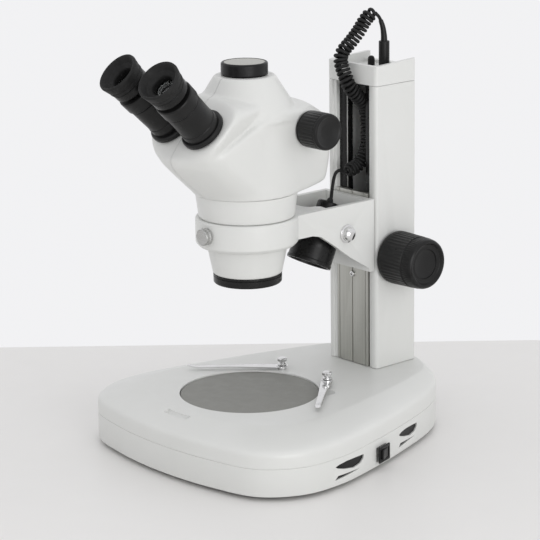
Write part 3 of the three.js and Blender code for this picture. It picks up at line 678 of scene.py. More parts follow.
def add_cord():
    """The curly cord hangs from the stand's plug to the arm; its tail runs on to the lamp, which tilts."""
    grip = turned([(0, 354), (3, 354), (3, 362.6), (5.4, 362.6, 0.4), (5.4, 388.4, 0.7), (0, 388.6)],
                  64, plug_ripple, PLUG_AT)
    boot_line = evenly(spline(BOOT_ROUTE, 12), 1.0)
    sizes = [BOOT_THICK - BOOT_TAPER * k / (len(boot_line) - 1) for k in range(len(boot_line))]
    boot = tube_along(boot_line, sizes, 24)
    plug = link("plug", joined(grip, boot), "stand", "black_plastic", ["lamp_plug"])
    wire = evenly(coiled(COIL_ROUTE), WIRE_STEP)
    coil = link("lamp_coil_wire", tube_along(wire, WIRE / 2, 9), None, "rubber", ["lamp_coil"], 60)
    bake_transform(coil)
    line = evenly(spline(TAIL_ROUTE, 12), 1.0)
    tail = link("lamp_tail_wire", tube_along(line, WIRE / 2, 12), None, "rubber", ["lamp_cord_tail"], 60)
    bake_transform(tail)


def plug_ripple(angle, radius, height):
    """Shallow finger grooves round the plug's grip."""
    if GRIP_RIBS[0] < height < GRIP_RIBS[1] and radius > 4.5:
        return -0.12 * max(0, math.cos(16 * angle))
    return 0


add_cord()


# ---- base
# Right halves of the base's outline and of its flat top's, as (x, y) from front to back.
BASE_EDGE = [
    (0, -152), (70, -146), (121, -131), (146, -96), (149, -53), (138, 0), (118, 65), (96, 120),
    (75, 150), (40, 172), (0, 180),
]
PLATEAU_EDGE = [
    (0, -116), (52, -111), (86, -98), (104, -74), (109, -45), (103, 0), (90, 62), (76, 112),
    (62, 144), (36, 163), (0, 168),
]
# Rows of the base's side as (share of the way in to the plateau's edge, height, inset).
BASE_ROWS = [
    (0, 4.2, 1.6), (0, 4.7, 0.5), (0, 5.8, 0), (0, 31.5, 0), (0, 31.75, 0.45), (0, 32.15, 0.45),
    (0, 32.4, 0), (0, 41.5, 0), (0.004, 44, 0), (0.018, 45.9, 0), (0.045, 47.3, 0), (0.085, 48.5, 0),
    (0.14, 49.6, 0), (0.22, 51, 0), (0.33, 52.5, 0), (0.5, 54.6, 0), (0.7, 56.7, 0), (0.86, 58.1, 0),
    (0.95, 58.8, 0), (1.0, 59, 0), (1.05, 59, 0),
]


def closed_half(half, per_segment=14):
    left = [(-x, y) for x, y in reversed(half[1:-1])]
    return spline(half + left, per_segment, closed=True)


def base_solid():
    outer = closed_half(BASE_EDGE)
    inner = closed_half(PLATEAU_EDGE)
    bm = bmesh.new()
    rings = []
    for share, height, inset in BASE_ROWS:
        ring = []
        for a, b in zip(outer, inner):
            point = a.lerp(b, share)
            point *= (point.length - inset) / point.length
            ring.append(bm.verts.new((point.x, point.y, height)))
        rings.append(ring)
    for low, high in zip(rings, rings[1:]):
        for i in range(len(low)):
            j = (i + 1) % len(low)
            bm.faces.new((low[i], low[j], high[j], high[i]))
    bm.faces.new(list(reversed(rings[0])))
    bm.faces.new(rings[-1])
    return bm


# The vents: two slots each, as (share of the vent's length, height), and each vent's span along Y.
LEAF = [
    (0, 23.5), (0.08, 21.4), (0.3, 18.6), (0.62, 16), (0.86, 17.2), (0.98, 20.6), (1, 24.6),
    (0.68, 25.6), (0.36, 26), (0.12, 25),
]
WEDGE = [(-0.02, 10.4), (0.88, 12.9), (0.09, 14.2)]
VENTS = [(-59, -15), (50, 88)]
VENT_REACH = (90, 170)
GRILLE_SHRINK = 0.988


def vent_shapes():
    """The slots through the base's side wall, on the right and mirrored on the left."""
    near, far = VENT_REACH
    shapes = []
    for y0, y1 in VENTS:
        for outline in (LEAF, WEDGE):
            flat = [(y0 + t * (y1 - y0), z) for t, z in outline]
            shapes.append(prism(flat, near, far, "X"))
            shapes.append(prism(flat, -far, -near, "X"))
    return shapes


def dish(at, size):
    """A squashed ball, for scooping out shallow hollows."""
    bm = bmesh.new()
    bmesh.ops.create_uvsphere(bm, u_segments=48, v_segments=24, radius=1)
    bm.transform(Matrix.Translation(at) @ Matrix.Diagonal((*size, 1)))
    return bm


SWITCH_TURN = math.radians(16)
SWITCH_PLACE = Matrix.Translation((134.4, 16, 16.5)) @ Matrix.Rotation(SWITCH_TURN, 4, "Z")
STAGE_WELL = 62
STAGE_SEAT = 69.1
THUMB_HALF = 17
THUMB_FRONT = -128.5
THUMB_BOW = 0.0042
THUMB_HEIGHT = 56.9
THUMB_THICK = 3.2


def thumb_groove():
    """A bowed finger groove across the base's front slope."""
    xs = range(-THUMB_HALF, THUMB_HALF + 1, 2)
    line = [Vector((x, THUMB_FRONT + x * x * THUMB_BOW, THUMB_HEIGHT)) for x in xs]
    return tube_along(line, THUMB_THICK, 16)


def add_base():
    well = rod(STAGE_WELL, 10, 70, ON_OPTIC, 160)
    recess = rod(STAGE_SEAT, 51.7, 70, ON_OPTIC, 200)
    scoop = dish((50, 17, 60.4), (16, 10, 4.2))
    switch_hole = box((-12, 12), (-9.3, 9.3), (-7.3, 7.3))
    switch_hole.transform(SWITCH_PLACE)
    inlet_hole = box((-13, 13), (165, 190), (15, 33))
    holes = [well, recess, scoop, switch_hole, inlet_hole, thumb_groove(), *vent_shapes()]
    link("base_cover", cut(base_solid(), *holes, bevel=0.5), "stand", "white_casting", ["base_shell"], 32)
    core = base_solid()
    core.transform(Matrix.Diagonal((GRILLE_SHRINK, GRILLE_SHRINK, 1, 1)))
    for k, shape in enumerate(vent_shapes()):
        grille = combined(shape, [core.copy()], "INTERSECT")
        link(f"vent_grille_{k}", grille, "stand", "black_plastic")
    core.free()


def add_feet():
    for name in ("front_right", "front_left", "rear_right", "rear_left"):
        place = middle(f"foot_{name}")
        foot = turned([(0, 0.1), (7.6, 0.1, 0.6), (9.4, 0.5, 0.6), (10, 3.9, 0.3), (0, 3.9)], 56,
                      matrix=Matrix.Translation((place.x, place.y, 0)))
        link(f"rubber_foot_{name}", foot, "stand", "rubber", [f"foot_{name}"])


def add_power():
    """The rocker switch in the base's right wall, with its bezel."""
    rim = prism(rounded_outline(-10.2, 10.2, -8.2, 8.2, 1.2), 2, 3.4, "X", 0.4, 2)
    hole = box((-3, 6), (-8, 8), (-5, 5))
    body = box((-3.4, 2.6), (-9, 9), (-7, 7))
    bezel = cut(joined(rim, body), hole, bevel=0.2)
    bezel.transform(SWITCH_PLACE)
    link("switch_bezel", bezel, "stand", "black_plastic", ["switch_frame"])
    section = [(0.4, -6.6), (5.6, -6.6), (5.0, -3.5), (4.2, 0), (3.6, 3.5), (3.2, 6.6), (0.4, 6.6)]
    rocker = prism(section, -4.6, 4.6, "Z", 0.35, 3)
    rocker.transform(SWITCH_PLACE)
    link("switch_rocker", rocker, "switch", "black_plastic", ["power_switch"])


def add_stage():
    profile = [(0, 52), (68.2, 52, 0.6), (68.2, STAGE_TOP, 0.6), (0, STAGE_TOP)]
    plate = turned(profile, 220, matrix=ON_OPTIC)
    link("stage_glass", plate, "stage_plate", "frosted_glass", ["stage_plate"])


CLIP_POST = Matrix.Translation((33.5, 38, 0))
CLIP_HEADING = math.atan2(-72, 63.5)
CLIP_HEIGHT = 62.2
CLIP_LENGTH = 96
CLIP_TIP = 84
CLIP_THICK = 0.8


def knurl(count, depth, low, high, least=0):
    """Ripple for a band of fine ribs between two heights."""
    def ripple(angle, radius, height):
        if low <= height <= high and radius > least:
            return -depth * (0.5 - 0.5 * math.cos(count * angle))
        return 0
    return ripple


def clip_leaf():
    """A sprung strip that tapers, dips to the glass and turns up at its tip."""
    bm = bmesh.new()
    rows = []
    steps = 40
    for i in range(steps + 1):
        along = CLIP_LENGTH * i / steps
        half = np.interp(along, [0, 14, 52, 90, CLIP_LENGTH], [6, 5.4, 3.6, 3.0, 1.8])
        tip = 0.06 * (along - CLIP_TIP) ** 1.5 if along > CLIP_TIP else 0
        rise = 0.9 * math.sin(math.pi * along / 110) + tip
        rows.append([bm.verts.new((along, side * half, rise)) for side in (-1, -0.5, 0, 0.5, 1)])
    for low, high in zip(rows, rows[1:]):
        for k in range(4):
            bm.faces.new((low[k], high[k], high[k + 1], low[k + 1]))
    bm.normal_update()
    leaf = to_object(bm)
    thick = leaf.modifiers.new("thick", "SOLIDIFY")
    thick.thickness = CLIP_THICK
    thick.offset = 1
    round_edges(leaf, 0.18)
    eye = turned([(2.3, 0), (6, 0, 0.2), (6, CLIP_THICK, 0.2), (2.3, CLIP_THICK)], 48)
    return joined(unbaked(applied(leaf)), eye)


def add_clips():
    leaf = clip_leaf()
    lift = Matrix.Translation((0, 0, CLIP_HEIGHT))
    leaf.transform(CLIP_POST @ lift @ Matrix.Rotation(CLIP_HEADING, 4, "Z"))
    link_pair("clip_spring", leaf, "clip_SIDE", "chrome", ["clip_leaf_SIDE"])
    profile = [
        (0, 56), (2, 56), (2, 59.1), (4.4, 59.1, 0.3), (4.4, 61.9, 0.3), (2, 61.9), (2, 63.3),
        (4.6, 63.3, 0.5), (4.6, 64.8, 0.4), (3.1, 66, 0.4), (3.1, 66.8), (4.9, 67.8, 0.4),
        (4.9, 70.2, 0.5), (3.9, 70.9, 0.4), (0, 70.9),
    ]
    post = turned(profile, 120, knurl(24, 0.3, 67.2, 70.6, 4.2), CLIP_POST)
    link_pair("clip_thumbscrew", post, "stand", "chrome", ["clip_screw_SIDE"])


# ---- column and its cap
CHANNEL_HALF = 23.5
CHANNEL_BACK = 150
CHANNEL_FLOOR = 65.3
REBATE_HALF = 27.5
AXLE_BORE = 7.3


def column_outline():
    return rounded_outline(-COLUMN_HALF, COLUMN_HALF, COLUMN_FRONT, COLUMN_BACK, 4, 8)


def add_column():
    body = prism(column_outline(), 59.3, SEAM - 0.1, "Z")
    channel = box((-CHANNEL_HALF, CHANNEL_HALF), (100, CHANNEL_BACK), (CHANNEL_FLOOR, 360))
    mouth = box((-CHANNEL_HALF, CHANNEL_HALF), (100, 122), (50, 70))
    rebate = box((-REBATE_HALF, REBATE_HALF), (100, 106.4), (50, 360))
    bore = rod(AXLE_BORE, -50, 50, aimed(X_AXIS, FOCUS_AXLE))
    mesh = cut(body, channel, mouth, rebate, bore, bevel=0.7, steps=3)
    link("column_tube", mesh, "stand", "white_casting", ["column_shell"])
    for side, xs in (("right", (14, 23.7)), ("left", (-23.7, -14))):
        land = box(xs, (110.7, 120), (59.4, SEAM - 0.3), 0.4)
        link(f"guide_land_{side}", land, "stand", "black_metal")
    half = CHANNEL_HALF - 0.1
    back = box((-half, half), (148.8, 149.9), (66, SEAM - 0.3), 0.2)
    link("channel_back", back, "stand", "black_metal")
    strip = box((-17.2, -12.6), (111.4, 112.4), (240.2, SEAM - 1), 0.25)
    link("guide_strip", strip, "stand", "steel")


DISH_HALF = 31
DISH_FLOOR = 361
DISH_SILL = 364.2
CAP_FRONT = 368.5
ABOVE_CAP = 385


def add_cap():
    """A dish whose side walls rise towards the back, where it is open over a low sill."""
    back = COLUMN_BACK + 2
    lid = prism(column_outline(), SEAM + 0.3, CAP_TOP + 1, "Z")
    slope = prism([(100, CAP_FRONT), (back, CAP_TOP), (back, ABOVE_CAP), (100, ABOVE_CAP)], -40, 40, "X")
    hollow = prism(rounded_outline(-DISH_HALF, DISH_HALF, 109, 155, 5, 8), DISH_FLOOR, ABOVE_CAP, "Z")
    notch = box((-DISH_HALF, DISH_HALF), (150, back), (DISH_SILL, ABOVE_CAP))
    under = box((-CHANNEL_HALF, CHANNEL_HALF), (112, CHANNEL_BACK), (340, 356))
    socket_hole = rod(6.3, 350, 365, PLUG_AT)
    knob_hole = rod(2.6, 350, 365, DIMMER_AT, 32)
    mesh = cut(lid, slope, hollow, notch, under, socket_hole, knob_hole, bevel=1.1, steps=4)
    link("column_lid", mesh, "stand", "white_plastic", ["column_cap"], 40)
    profile = [
        (0, 351), (2.2, 351), (2.2, 361.4), (3.6, 361.4, 0.3), (3.5, 368, 1.2), (2.8, 369.9, 1),
        (1.4, 370.8, 0.8), (0, 371),
    ]
    knob = turned(profile, 96, knurl(16, 0.16, 363, 368, 3.2), DIMMER_AT)
    link("dimmer_cap", knob, "dimmer", "black_plastic", ["dimmer_knob"])


# ---- focus drive
SLIDER_FOOT = 59.8
STOP_SCREW_HEIGHT = 153


def add_slider():
    """The dovetail plate, scored down its middle and along both edges, with its stop screw."""
    top = SLIDER_TOP
    plate = box((-22.3, 22.3), (105.3, 110.3), (SLIDER_FOOT, top))
    tongue = box((-13.7, 13.7), (106.3, 117), (SLIDER_FOOT, top - 4))
    scores = [box((x0, x1), (104, deep), (50, top + 2))
              for x0, x1, deep in ((-0.8, 0.8, 106.2), (18.6, 19.3, 105.9), (-19.3, -18.6, 105.9))]
    hole = rod(2, 0, 12, aimed(-FORWARD, (0, 104, STOP_SCREW_HEIGHT)), 32)
    mesh = cut(joined(plate, tongue), *scores, hole, bevel=0.25)
    link("slider_plate", mesh, "carriage", "aluminium", ["focus_slider"])
    profile = [
        (0, -8), (1.7, -8), (1.7, 0.9), (2.9, 0.9, 0.3), (2.9, 2.4, 0.5), (1.5, 2.6), (1.3, 1.6),
        (0, 1.6),
    ]
    screw = turned(profile, 40, matrix=aimed(FORWARD, (0, 106.3, STOP_SCREW_HEIGHT)))
    link("slider_screw", screw, "carriage", "chrome", ["slider_stop_screw"])


def focus_ribs(angle, radius, height):
    """Long broad ribs on the drum and finer ones on its end ring."""
    if 44 < height < 69.5 and radius > 24:
        return -0.55 * (0.5 - 0.5 * math.cos(44 * angle)) ** 0.7
    if 72 < height < 80.5 and radius > 22:
        return -0.4 * (0.5 - 0.5 * math.cos(66 * angle))
    return 0


def add_focus_knobs():
    profile = [
        (0, 37.4), (4.2, 37.4), (25.4, 37.4, 1), (26.8, 40, 0.8), (26.9, 43.6), (26.9, 44.4), (26.6, 55),
        (26.2, 69), (26.1, 69.8), (25.2, 70.6, 0.4), (25.2, 71.4, 0.4), (26, 72, 0.4), (25.9, 76),
        (25.2, 80.6), (24.4, 82.6, 0.9), (22.6, 84, 0.8), (21.2, 83.7, 0.5), (19.6, 81.2, 0.8),
        (17.6, 80.6, 0.8), (15.2, 80.7), (14.7, 79.4, 0.5), (8, 78.1), (0, 77.8),
    ]
    knob = turned(profile, 352, focus_ribs, aimed(X_AXIS, (0, FOCUS_AXLE.y, FOCUS_AXLE.z)))
    link_pair("focus_handwheel", knob, "focus_drive", "black_plastic", ["focus_knob_SIDE"], 30)


# ---- focus arm
ARM_FOOT = 163
ARM_TOP = 236.5
ARM_BACK = 102
ARM_HALF = 35
ARM_INSIDE = 29.5
RING_FOOT = 209.7
RING_BORE = 38.7
LOCK_HEIGHT = 225
# The side wall's outline as (y, z), and the shelf over the lamp as (x, y).
ARM_SIDE = [
    (ARM_BACK, ARM_FOOT), (ARM_BACK, ARM_TOP), (-8, ARM_TOP), (-12, RING_FOOT), (0, 213), (19, 213),
    (30, 210.4), (50, 197), (69, 183),
]
SHELF = [
    (-30, -10), (30, -10), (30, 42), (21, 43.4), (16, 40), (14, 34), (7, 31.2), (0, 31),
    (-7, 31.2), (-14, 34), (-16, 40), (-21, 43.4), (-30, 42),
]


def add_arm():
    """Two side walls, a web behind, a boss on the slider, and a shelf out to the ring that holds the head."""
    profile = [
        (RING_BORE, RING_FOOT), (47, RING_FOOT, 1), (50, 213, 2.5), (50, 236, 0.5), (49, RING_TOP, 0.8),
        (RING_BORE, RING_TOP),
    ]
    ring = turned(profile, 200, matrix=ON_OPTIC)
    walls = [prism(ARM_SIDE, ARM_INSIDE, ARM_HALF, "X"), prism(ARM_SIDE, -ARM_HALF, -ARM_INSIDE, "X")]
    web = box((-ARM_HALF, ARM_HALF), (96, ARM_BACK), (ARM_FOOT, ARM_TOP))
    boss = box((-20, 20), (100, 105), (165, 232.5))
    shelf = prism(SHELF, 229.5, ARM_TOP - 0.1, "Z")
    lock_at = aimed(FORWARD, (0, OPTIC_Y, LOCK_HEIGHT))
    bore = rod(RING_BORE, 200, 250, ON_OPTIC, 200)
    lamp_hole = rod(3.4, -50, 50, aimed(X_AXIS, LAMP_PIVOT), 32)
    lock_hole = rod(3.2, 30, 60, lock_at, 32)
    body = union(ring, *walls, web, boss, shelf)
    mesh = cut(body, bore, lamp_hole, lock_hole, bevel=1.0, steps=3, angle=30)
    link("arm_casting", mesh, "carriage", "white_casting", ["focus_arm"], 40)
    profile = [
        (0, 39), (2.9, 39), (2.9, 50.4), (8.1, 50.4, 0.5), (8.1, 52.7, 0.4), (7.2, 53.4), (7.2, 53.9),
        (8.25, 54.4, 0.3), (8.25, 57, 0.5), (7.4, 57.9, 0.4), (6.9, 57.3, 0.2), (0, 57.3),
    ]
    thumb = turned(profile, 144, knurl(36, 0.22, 50.6, 56.9, 7.9), lock_at)
    link("lock_thumbscrew", thumb, "lock_screw", "silver", ["head_lock_screw"])


# ---- lamp
def on_lamp(profile, segments=120, ripple=None):
    return turned(profile, segments, ripple, aimed(LAMP_AXIS, LAMP_BELL))


def add_lamp():
    """The bell on its trunnion between the arm's walls, its cord boot, and a dome nut on either side."""
    across = aimed(X_AXIS, LAMP_PIVOT)
    bell = on_lamp([
        (0, 10.5), (9, 10.5, 1), (18.4, -9, 2), (20.6, -36.7), (22.8, -36.7, 0.6), (22.8, -33.4, 0.5),
        (22.3, -32.6, 0.4), (22.1, -19), (20.8, -7, 3), (12.4, 12.4, 2), (11.8, 14, 0.8),
        (11.5, 26.2, 0.5), (10.4, 27.4, 0.8), (0, 27.6),
    ])
    trunnion = turned([(0, -29), (4.6, -29, 0.4), (4.6, 29, 0.4), (0, 29)], 40, matrix=across)
    link("lamp_shade", joined(bell, trunnion), "lamp", "black_metal", ["lamp_housing"])
    boot = on_lamp([(0, 27.7), (3.6, 27.7, 0.5), (3.4, 29, 0.4), (2.2, 31.8, 0.3), (0, 31.8)], 40)
    link("lamp_boot", boot, "lamp", "rubber", ["lamp_strain_relief"])
    profile = [
        (0, 20), (2, 20), (2, 35.1), (9.2, 35.1, 0.3), (9.2, 36.3, 0.5), (7.4, 36.9, 0.2),
        (7.2, 38.6, 1.4), (6.4, 41.4, 2.4), (3.4, 43.2, 2), (0, 43.5),
    ]
    nut = turned(profile, 96, matrix=across)
    link_pair("lamp_dome_nut", nut, "carriage", "chrome", ["lamp_bolt_SIDE"])


# ---- barrel and objective
def on_optic(profile, segments=200, ripple=None):
    return turned(profile, segments, ripple, ON_OPTIC)


def add_barrel():
    barrel = on_optic([
        (34, 212), (38.3, 212), (38.3, 237.8), (46, 237.8, 0.8), (46.8, 238.8, 0.6), (49.6, 261.4, 0.5),
        (49.2, 261.8), (34, 261.8),
    ])
    link("barrel_casting", barrel, "head", "white_casting", ["objective_barrel"])
    collar = on_optic([
        (30, 181.5), (33.2, 181.5, 0.4), (34, 182.6, 0.6), (39.3, 208.8, 0.6), (38.6, 209.4),
        (36, 209.4), (36, 211.7), (30, 211.7),
    ])
    link("collar_casting", collar, "head", "white_casting", ["objective_collar"])
    front = on_optic([
        (27.5, 171.7), (32.4, 171.7, 0.5), (33.4, 172.8, 0.4), (33.5, 178.4), (32.9, 178.8),
        (32.9, 179.3), (33.5, 179.7), (33.5, 181.2, 0.3), (27.5, 181.2),
    ])
    link("objective_bezel", front, "head", "black_metal", ["objective_ring"])
    lens = on_optic([(0, 175), (14, 175.5), (24, 176.6), (27.2, 177.2), (27.2, 181.3), (0, 181.3)], 120)
    link("objective_glass", lens, "head", "glass", ["objective_lens"])


# ---- head casting
# Corners of the body, and of the eyetube block that leans over its front, as (x, y from the optical axis, z).
BODY_CORNERS = [
    (0, -86, 288), (0, -94, 299), (0, -95, 308), (0, -88, 314), (26, -88, 300), (40, -76, 298),
    (47, -74, 312), (50, -58, 320), (50, -26, 334), (50, 0, 347), (46, -62, 297), (50, -45, 286.5),
    (50, -31, 275.5), (50, -12, 267), (50, 36, 342), (44, 46, 345), (50, 36, 300), (50, 20, 276),
    (34, 76, 330), (26, 81, 331), (34, 82, 292), (26, 87, 288), (28, 80, 262), (20, 84, 262),
    (36, 58, 260), (26, 56, 347), (0, 53, 350), (0, 84, 332), (0, 90, 288), (0, 82, 260),
]
BLOCK_CORNERS = [
    (0, -46, 358), (28, -44, 360), (46, -50, 354), (55, -61, 343), (55, -73, 331), (47, -83, 321),
    (26, -87.5, 316.5), (0, -90, 314), (0, -95, 306), (26, -90, 302), (42, -78, 304),
    (43, 0, 352), (45, -26, 336.5), (46, -52, 325), (45, -74, 315), (0, 0, 356), (30, 0, 356),
    (0, -20, 300),
]
HEAD_RADIUS = 49.6
HEAD_FOOT = 258
HEAD_SEAM = 262
HEAD_STEP = 1.25
NECK_TOP = 375
PORT_WELL = 20.4
PORT_FLOOR = 352


def foot_corners():
    """Half of the circle that the body stands on."""
    turns = [k * math.pi / 12 for k in range(13)]
    return [(HEAD_RADIUS * math.sin(t), HEAD_RADIUS * math.cos(t), HEAD_FOOT) for t in turns]


def hull_planes(corners):
    """The faces of the corners' hull, both halves, each as a normal and a distance; slivers are left out."""
    bm = bmesh.new()
    for x, y, z in corners:
        for sign in (-1, 1):
            bm.verts.new((sign * x, y + OPTIC_Y, z))
    bmesh.ops.remove_doubles(bm, verts=bm.verts, dist=0.01)
    bmesh.ops.convex_hull(bm, input=bm.verts)
    bmesh.ops.recalc_face_normals(bm, faces=bm.faces)
    planes = {}
    for face in bm.faces:
        if face.calc_area() < 1:
            continue
        n = face.normal
        distance = n.dot(face.calc_center_median())
        key = (round(n.x, 1), round(n.y, 1), round(n.z, 1), round(distance / 4))
        planes.setdefault(key, (n.copy(), distance))
    bm.free()
    return list(planes.values())


def rounded_hull(grid, corners, rounding):
    """Signed distance to the hull of some corners, with its edges rounded off."""
    total = 0
    for normal, distance in hull_planes(corners):
        depth = grid[0] * normal.x + grid[1] * normal.y + grid[2] * normal.z - distance
        total = total + np.exp(np.clip(depth / rounding, -60, 40))
    return rounding * np.log(total)


def head_field(grid):
    """The body on its round foot, the eyetube block and the neck, cut for the eyetubes' face and the port."""
    body = rounded_hull(grid, BODY_CORNERS + foot_corners(), 1.5)
    foot = revolved_field(grid, [(255, 49.8), (268, 49.8), (290, 50), (310, 50), (330, 47), (352, 44)])
    foot = smooth_max(foot, HEAD_SEAM - grid[2], 0.6)
    foot = smooth_max(foot, grid[2] - 345, 4)
    body = smooth_min(body, foot, 5)
    block = rounded_hull(grid, BLOCK_CORNERS, 2.0)
    field = smooth_min(body, block, 4)
    neck = revolved_field(grid, [(330, 54), (346, 46.5), (352, 43.6), (372, 31), (380, 26)])
    neck = smooth_max(neck, grid[2] - NECK_TOP, 1.6)
    neck = smooth_max(neck, 335 - grid[2], 2)
    field = smooth_min(field, neck, 3)
    field = smooth_max(field, half_space(grid, FACE_NORMAL, EYE), 1.6)
    field = smooth_max(field, HEAD_SEAM - grid[2], 0.8)
    well = np.hypot(grid[0], grid[1] - OPTIC_Y) - PORT_WELL
    well = np.maximum(well, PORT_FLOOR - grid[2])
    return smooth_max(field, -well, 0.5)


def add_head():
    """The two mirrored halves of the head, a hair apart, and the camera port's lid."""
    low = (-2.5, -140, 256)
    grid = grid_over(low, (64, 64, 382), HEAD_STEP)
    bm = unbaked(relaxed(surface(head_field(grid), low, HEAD_STEP)))
    geometry = [*bm.verts, *bm.edges, *bm.faces]
    bmesh.ops.bisect_plane(bm, geom=geometry, plane_co=(0.12, 0, 0), plane_no=X_AXIS, clear_inner=True)
    link_pair("head_cover", bm, "head", "white_casting", ["head_shell_SIDE"], 60)
    cap = on_optic([
        (0, 375.7), (22.2, 375.7, 0.3), (22.6, 376.6, 0.4), (22.6, 385.9, 0.5), (21.9, 387.3, 0.9),
        (20.6, 387.6, 0.4), (20.1, 387, 0.3), (0, 387),
    ], 160)
    link("port_lid", cap, "head", "black_plastic", ["camera_port_cap"])
    disc = on_optic([(0, 387.05), (19.6, 387.05), (19.6, 387.3, 0.1), (0, 387.3)], 120)
    link("port_lid_disc", disc, "head", "aluminium")


# ---- zoom knobs
def zoom_ribs(angle, radius, height):
    """Narrow ribs with wide valleys round the knob's drum."""
    if 54 < height < 73.6 and radius > 16:
        return -0.55 * (0.5 - 0.5 * math.cos(30 * angle)) ** 3
    return 0


def add_zoom():
    profile = [
        (0, 50.6), (16.9, 50.6, 0.4), (17.6, 51.4, 0.4), (17.6, 52.7, 0.3), (17, 53.2, 0.2),
        (17.8, 53.8, 0.3), (17.8, 63), (17.8, 73.4, 0.3), (17.1, 74, 0.2), (17.7, 74.6, 0.3),
        (17.5, 76.4, 0.7), (16.6, 77.7, 0.6), (15, 77.8, 0.5), (13.6, 77, 1.2), (7, 74.9, 6), (0, 74.2),
    ]
    knob = turned(profile, 240, zoom_ribs, aimed(X_AXIS, (0, ZOOM_AXLE.y, ZOOM_AXLE.z)))
    link_pair("zoom_handwheel", knob, "zoom", "black_plastic", ["zoom_knob_SIDE"])


# ---- eyetubes
def on_eye(profile, segments=128, ripple=None):
    return turned(profile, segments, ripple, aimed(EYE_AXIS, EYE))


def add_eyes():
    """Each eyetube turns on a flange; its diopter ring, eyepiece and eyecup sit along the eye's axis."""
    on_face = aimed(FACE_NORMAL, EYE)
    flange = turned([(6, 0.3), (21.7, 0.3, 0.4), (22, 1, 0.4), (22, 4.2, 0.8), (20.8, 5.4, 0.6), (6, 5.8)],
                    128, matrix=on_face)
    stem = turned([(0, -18), (7.6, -18, 0.5), (7.6, 3), (0, 3)], 40, matrix=on_face)
    barrel = on_eye([
        (12, 1.8), (17.2, 1.8), (18.9, 8, 1), (18.6, 13.4, 0.6), (17.9, 14.2, 0.4), (18.2, 15.2, 0.5),
        (18.2, 40.6, 0.5), (17.4, 41.4), (12, 41.8),
    ])
    link_pair("eyetube_casting", joined(flange, stem, barrel), "tube_SIDE", "black_plastic", ["eyetube_SIDE"])
    ring = on_eye([
        (13.2, 42.4), (18.8, 42.4, 0.4), (19.4, 43.2, 0.4), (19.4, 54.6, 0.4), (18.8, 56, 0.5),
        (13.2, 56),
    ], 288, knurl(36, 0.5, 44.2, 53.8, 18.9))
    link_pair("diopter_grip", ring, "diopter_SIDE", "black_plastic", ["diopter_ring_SIDE"])
    eyepiece = on_eye([
        (10, 30), (11.6, 30), (11.6, 46.2), (12.6, 46.2), (12.6, 60), (17.8, 60, 0.4),
        (18.6, 60.8, 0.5), (18.6, 67.2, 0.5), (17.8, 68, 0.3), (10, 68),
    ])
    link_pair("eyepiece_body", eyepiece, "ocular_SIDE", "black_metal", ["eyepiece_SIDE"])
    cup = on_eye([
        (10.2, 68.4), (18.6, 68.4, 0.5), (19.4, 69.4, 0.5), (19.5, 72), (19, 72.7, 0.3),
        (19.8, 73.4, 0.4), (21.2, 80.2, 1), (20.9, 81.9, 0.8), (19.9, 82.3, 0.5), (18.6, 81.6, 0.8),
        (15, 76.8, 2), (11.2, 74.2, 1), (10.4, 73), (10.2, 72),
    ])
    link_pair("eyecup_rubber", cup, "ocular_SIDE", "rubber", ["eyecup_SIDE"])


# ---- what stays as the CAD drew it
CAD_FINISHES = {
    "steel": ("bottom_plate", "zoom_shaft", "pinion_shaft", "focus_rack"),
    "circuit_board": ("stage_light_board", "power_board", "lamp_led"),
    "brass": ("knob_bushing_right", "knob_bushing_left"),
    "glass": ("lamp_lens", "eye_lens_right", "eye_lens_left"),
    "black_plastic": ("lamp_socket", "camera_port_tube", "power_inlet"),
}


CAD_EDGE = 0.3


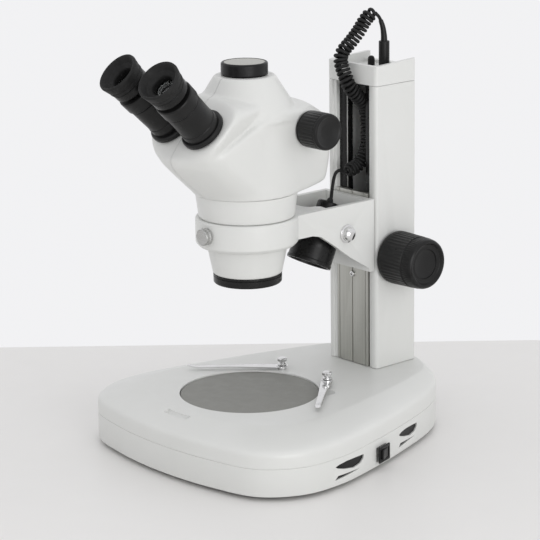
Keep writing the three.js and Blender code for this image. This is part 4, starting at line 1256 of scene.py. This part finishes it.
def finish_cad():
    """Finishes and rounds the hidden and plain pieces that keep the CAD's own shape."""
    for slot, names in CAD_FINISHES.items():
        for name in names:
            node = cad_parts[name]
            node.data.materials.clear()
            node.data.materials.append(MATERIALS[slot])
            round_edges(node, CAD_EDGE * MM)
            node.data.shade_smooth()
            node.data.set_sharp_from_angle(angle=math.radians(35))


# ---- studio
TABLE_REACH = (-1.0, 2.57)
TABLE_HALF = 3
LIGHT_TARGET = Vector((0, 0, 0.2))


def add_studio():
    """A pale table that ends a little behind the object, and a white wall of light beyond it."""
    bpy.context.scene.view_settings.view_transform = "Standard"
    flat_back = Vector((-VIEW_BACK.x, -VIEW_BACK.y, 0)).normalized()
    side = Vector((VIEW_RIGHT.x, VIEW_RIGHT.y, 0)).normalized()
    start = Vector((CAMERA_AT.x, CAMERA_AT.y, 0))
    near, far = TABLE_REACH
    corners = [start + flat_back * d + side * w
               for d, w in ((near, -TABLE_HALF), (near, TABLE_HALF), (far, TABLE_HALF), (far, -TABLE_HALF))]
    mesh = bpy.data.meshes.new("table")
    mesh.from_pydata(corners, [], [(0, 1, 2, 3)])
    n = Nodes("table_top")
    n.paint(n.ramp(n.noise(0.9, 3), 0, 1), (0.77, 0.76, 0.745), (0.80, 0.79, 0.775))
    n.gloss(n.noise(30, 3), 0.38, 0.48)
    n.set(IOR=1.45)
    mesh.materials.append(n.material)
    placed("table", mesh)
    world = bpy.data.worlds.new("wall_of_light")
    bpy.context.scene.world = world
    world.use_nodes = True
    background = world.node_tree.nodes["Background"]
    background.inputs["Color"].default_value = (0.985, 0.985, 1, 1)
    background.inputs["Strength"].default_value = 0.9
    add_light("key", (2.2, -0.7, 0.5), 1.3, 17)
    add_light("top", (0.2, 0.2, 2.2), 1.2, 1)


def add_light(name, place, size, power):
    light = bpy.data.lights.new(name, "AREA")
    light.shape = "SQUARE"
    light.size = size
    light.energy = power
    towards = LIGHT_TARGET - Vector(place)
    turn = towards.to_track_quat("-Z", "Y").to_matrix().to_4x4()
    placed(name, light).matrix_world = Matrix.Translation(place) @ turn


for add_part in (add_base, add_feet, add_power, add_stage, add_clips, add_column, add_cap, add_slider,
                 add_focus_knobs, add_arm, add_lamp, add_barrel, add_head, add_zoom, add_eyes):
    add_part()
finish_cad()
add_studio()
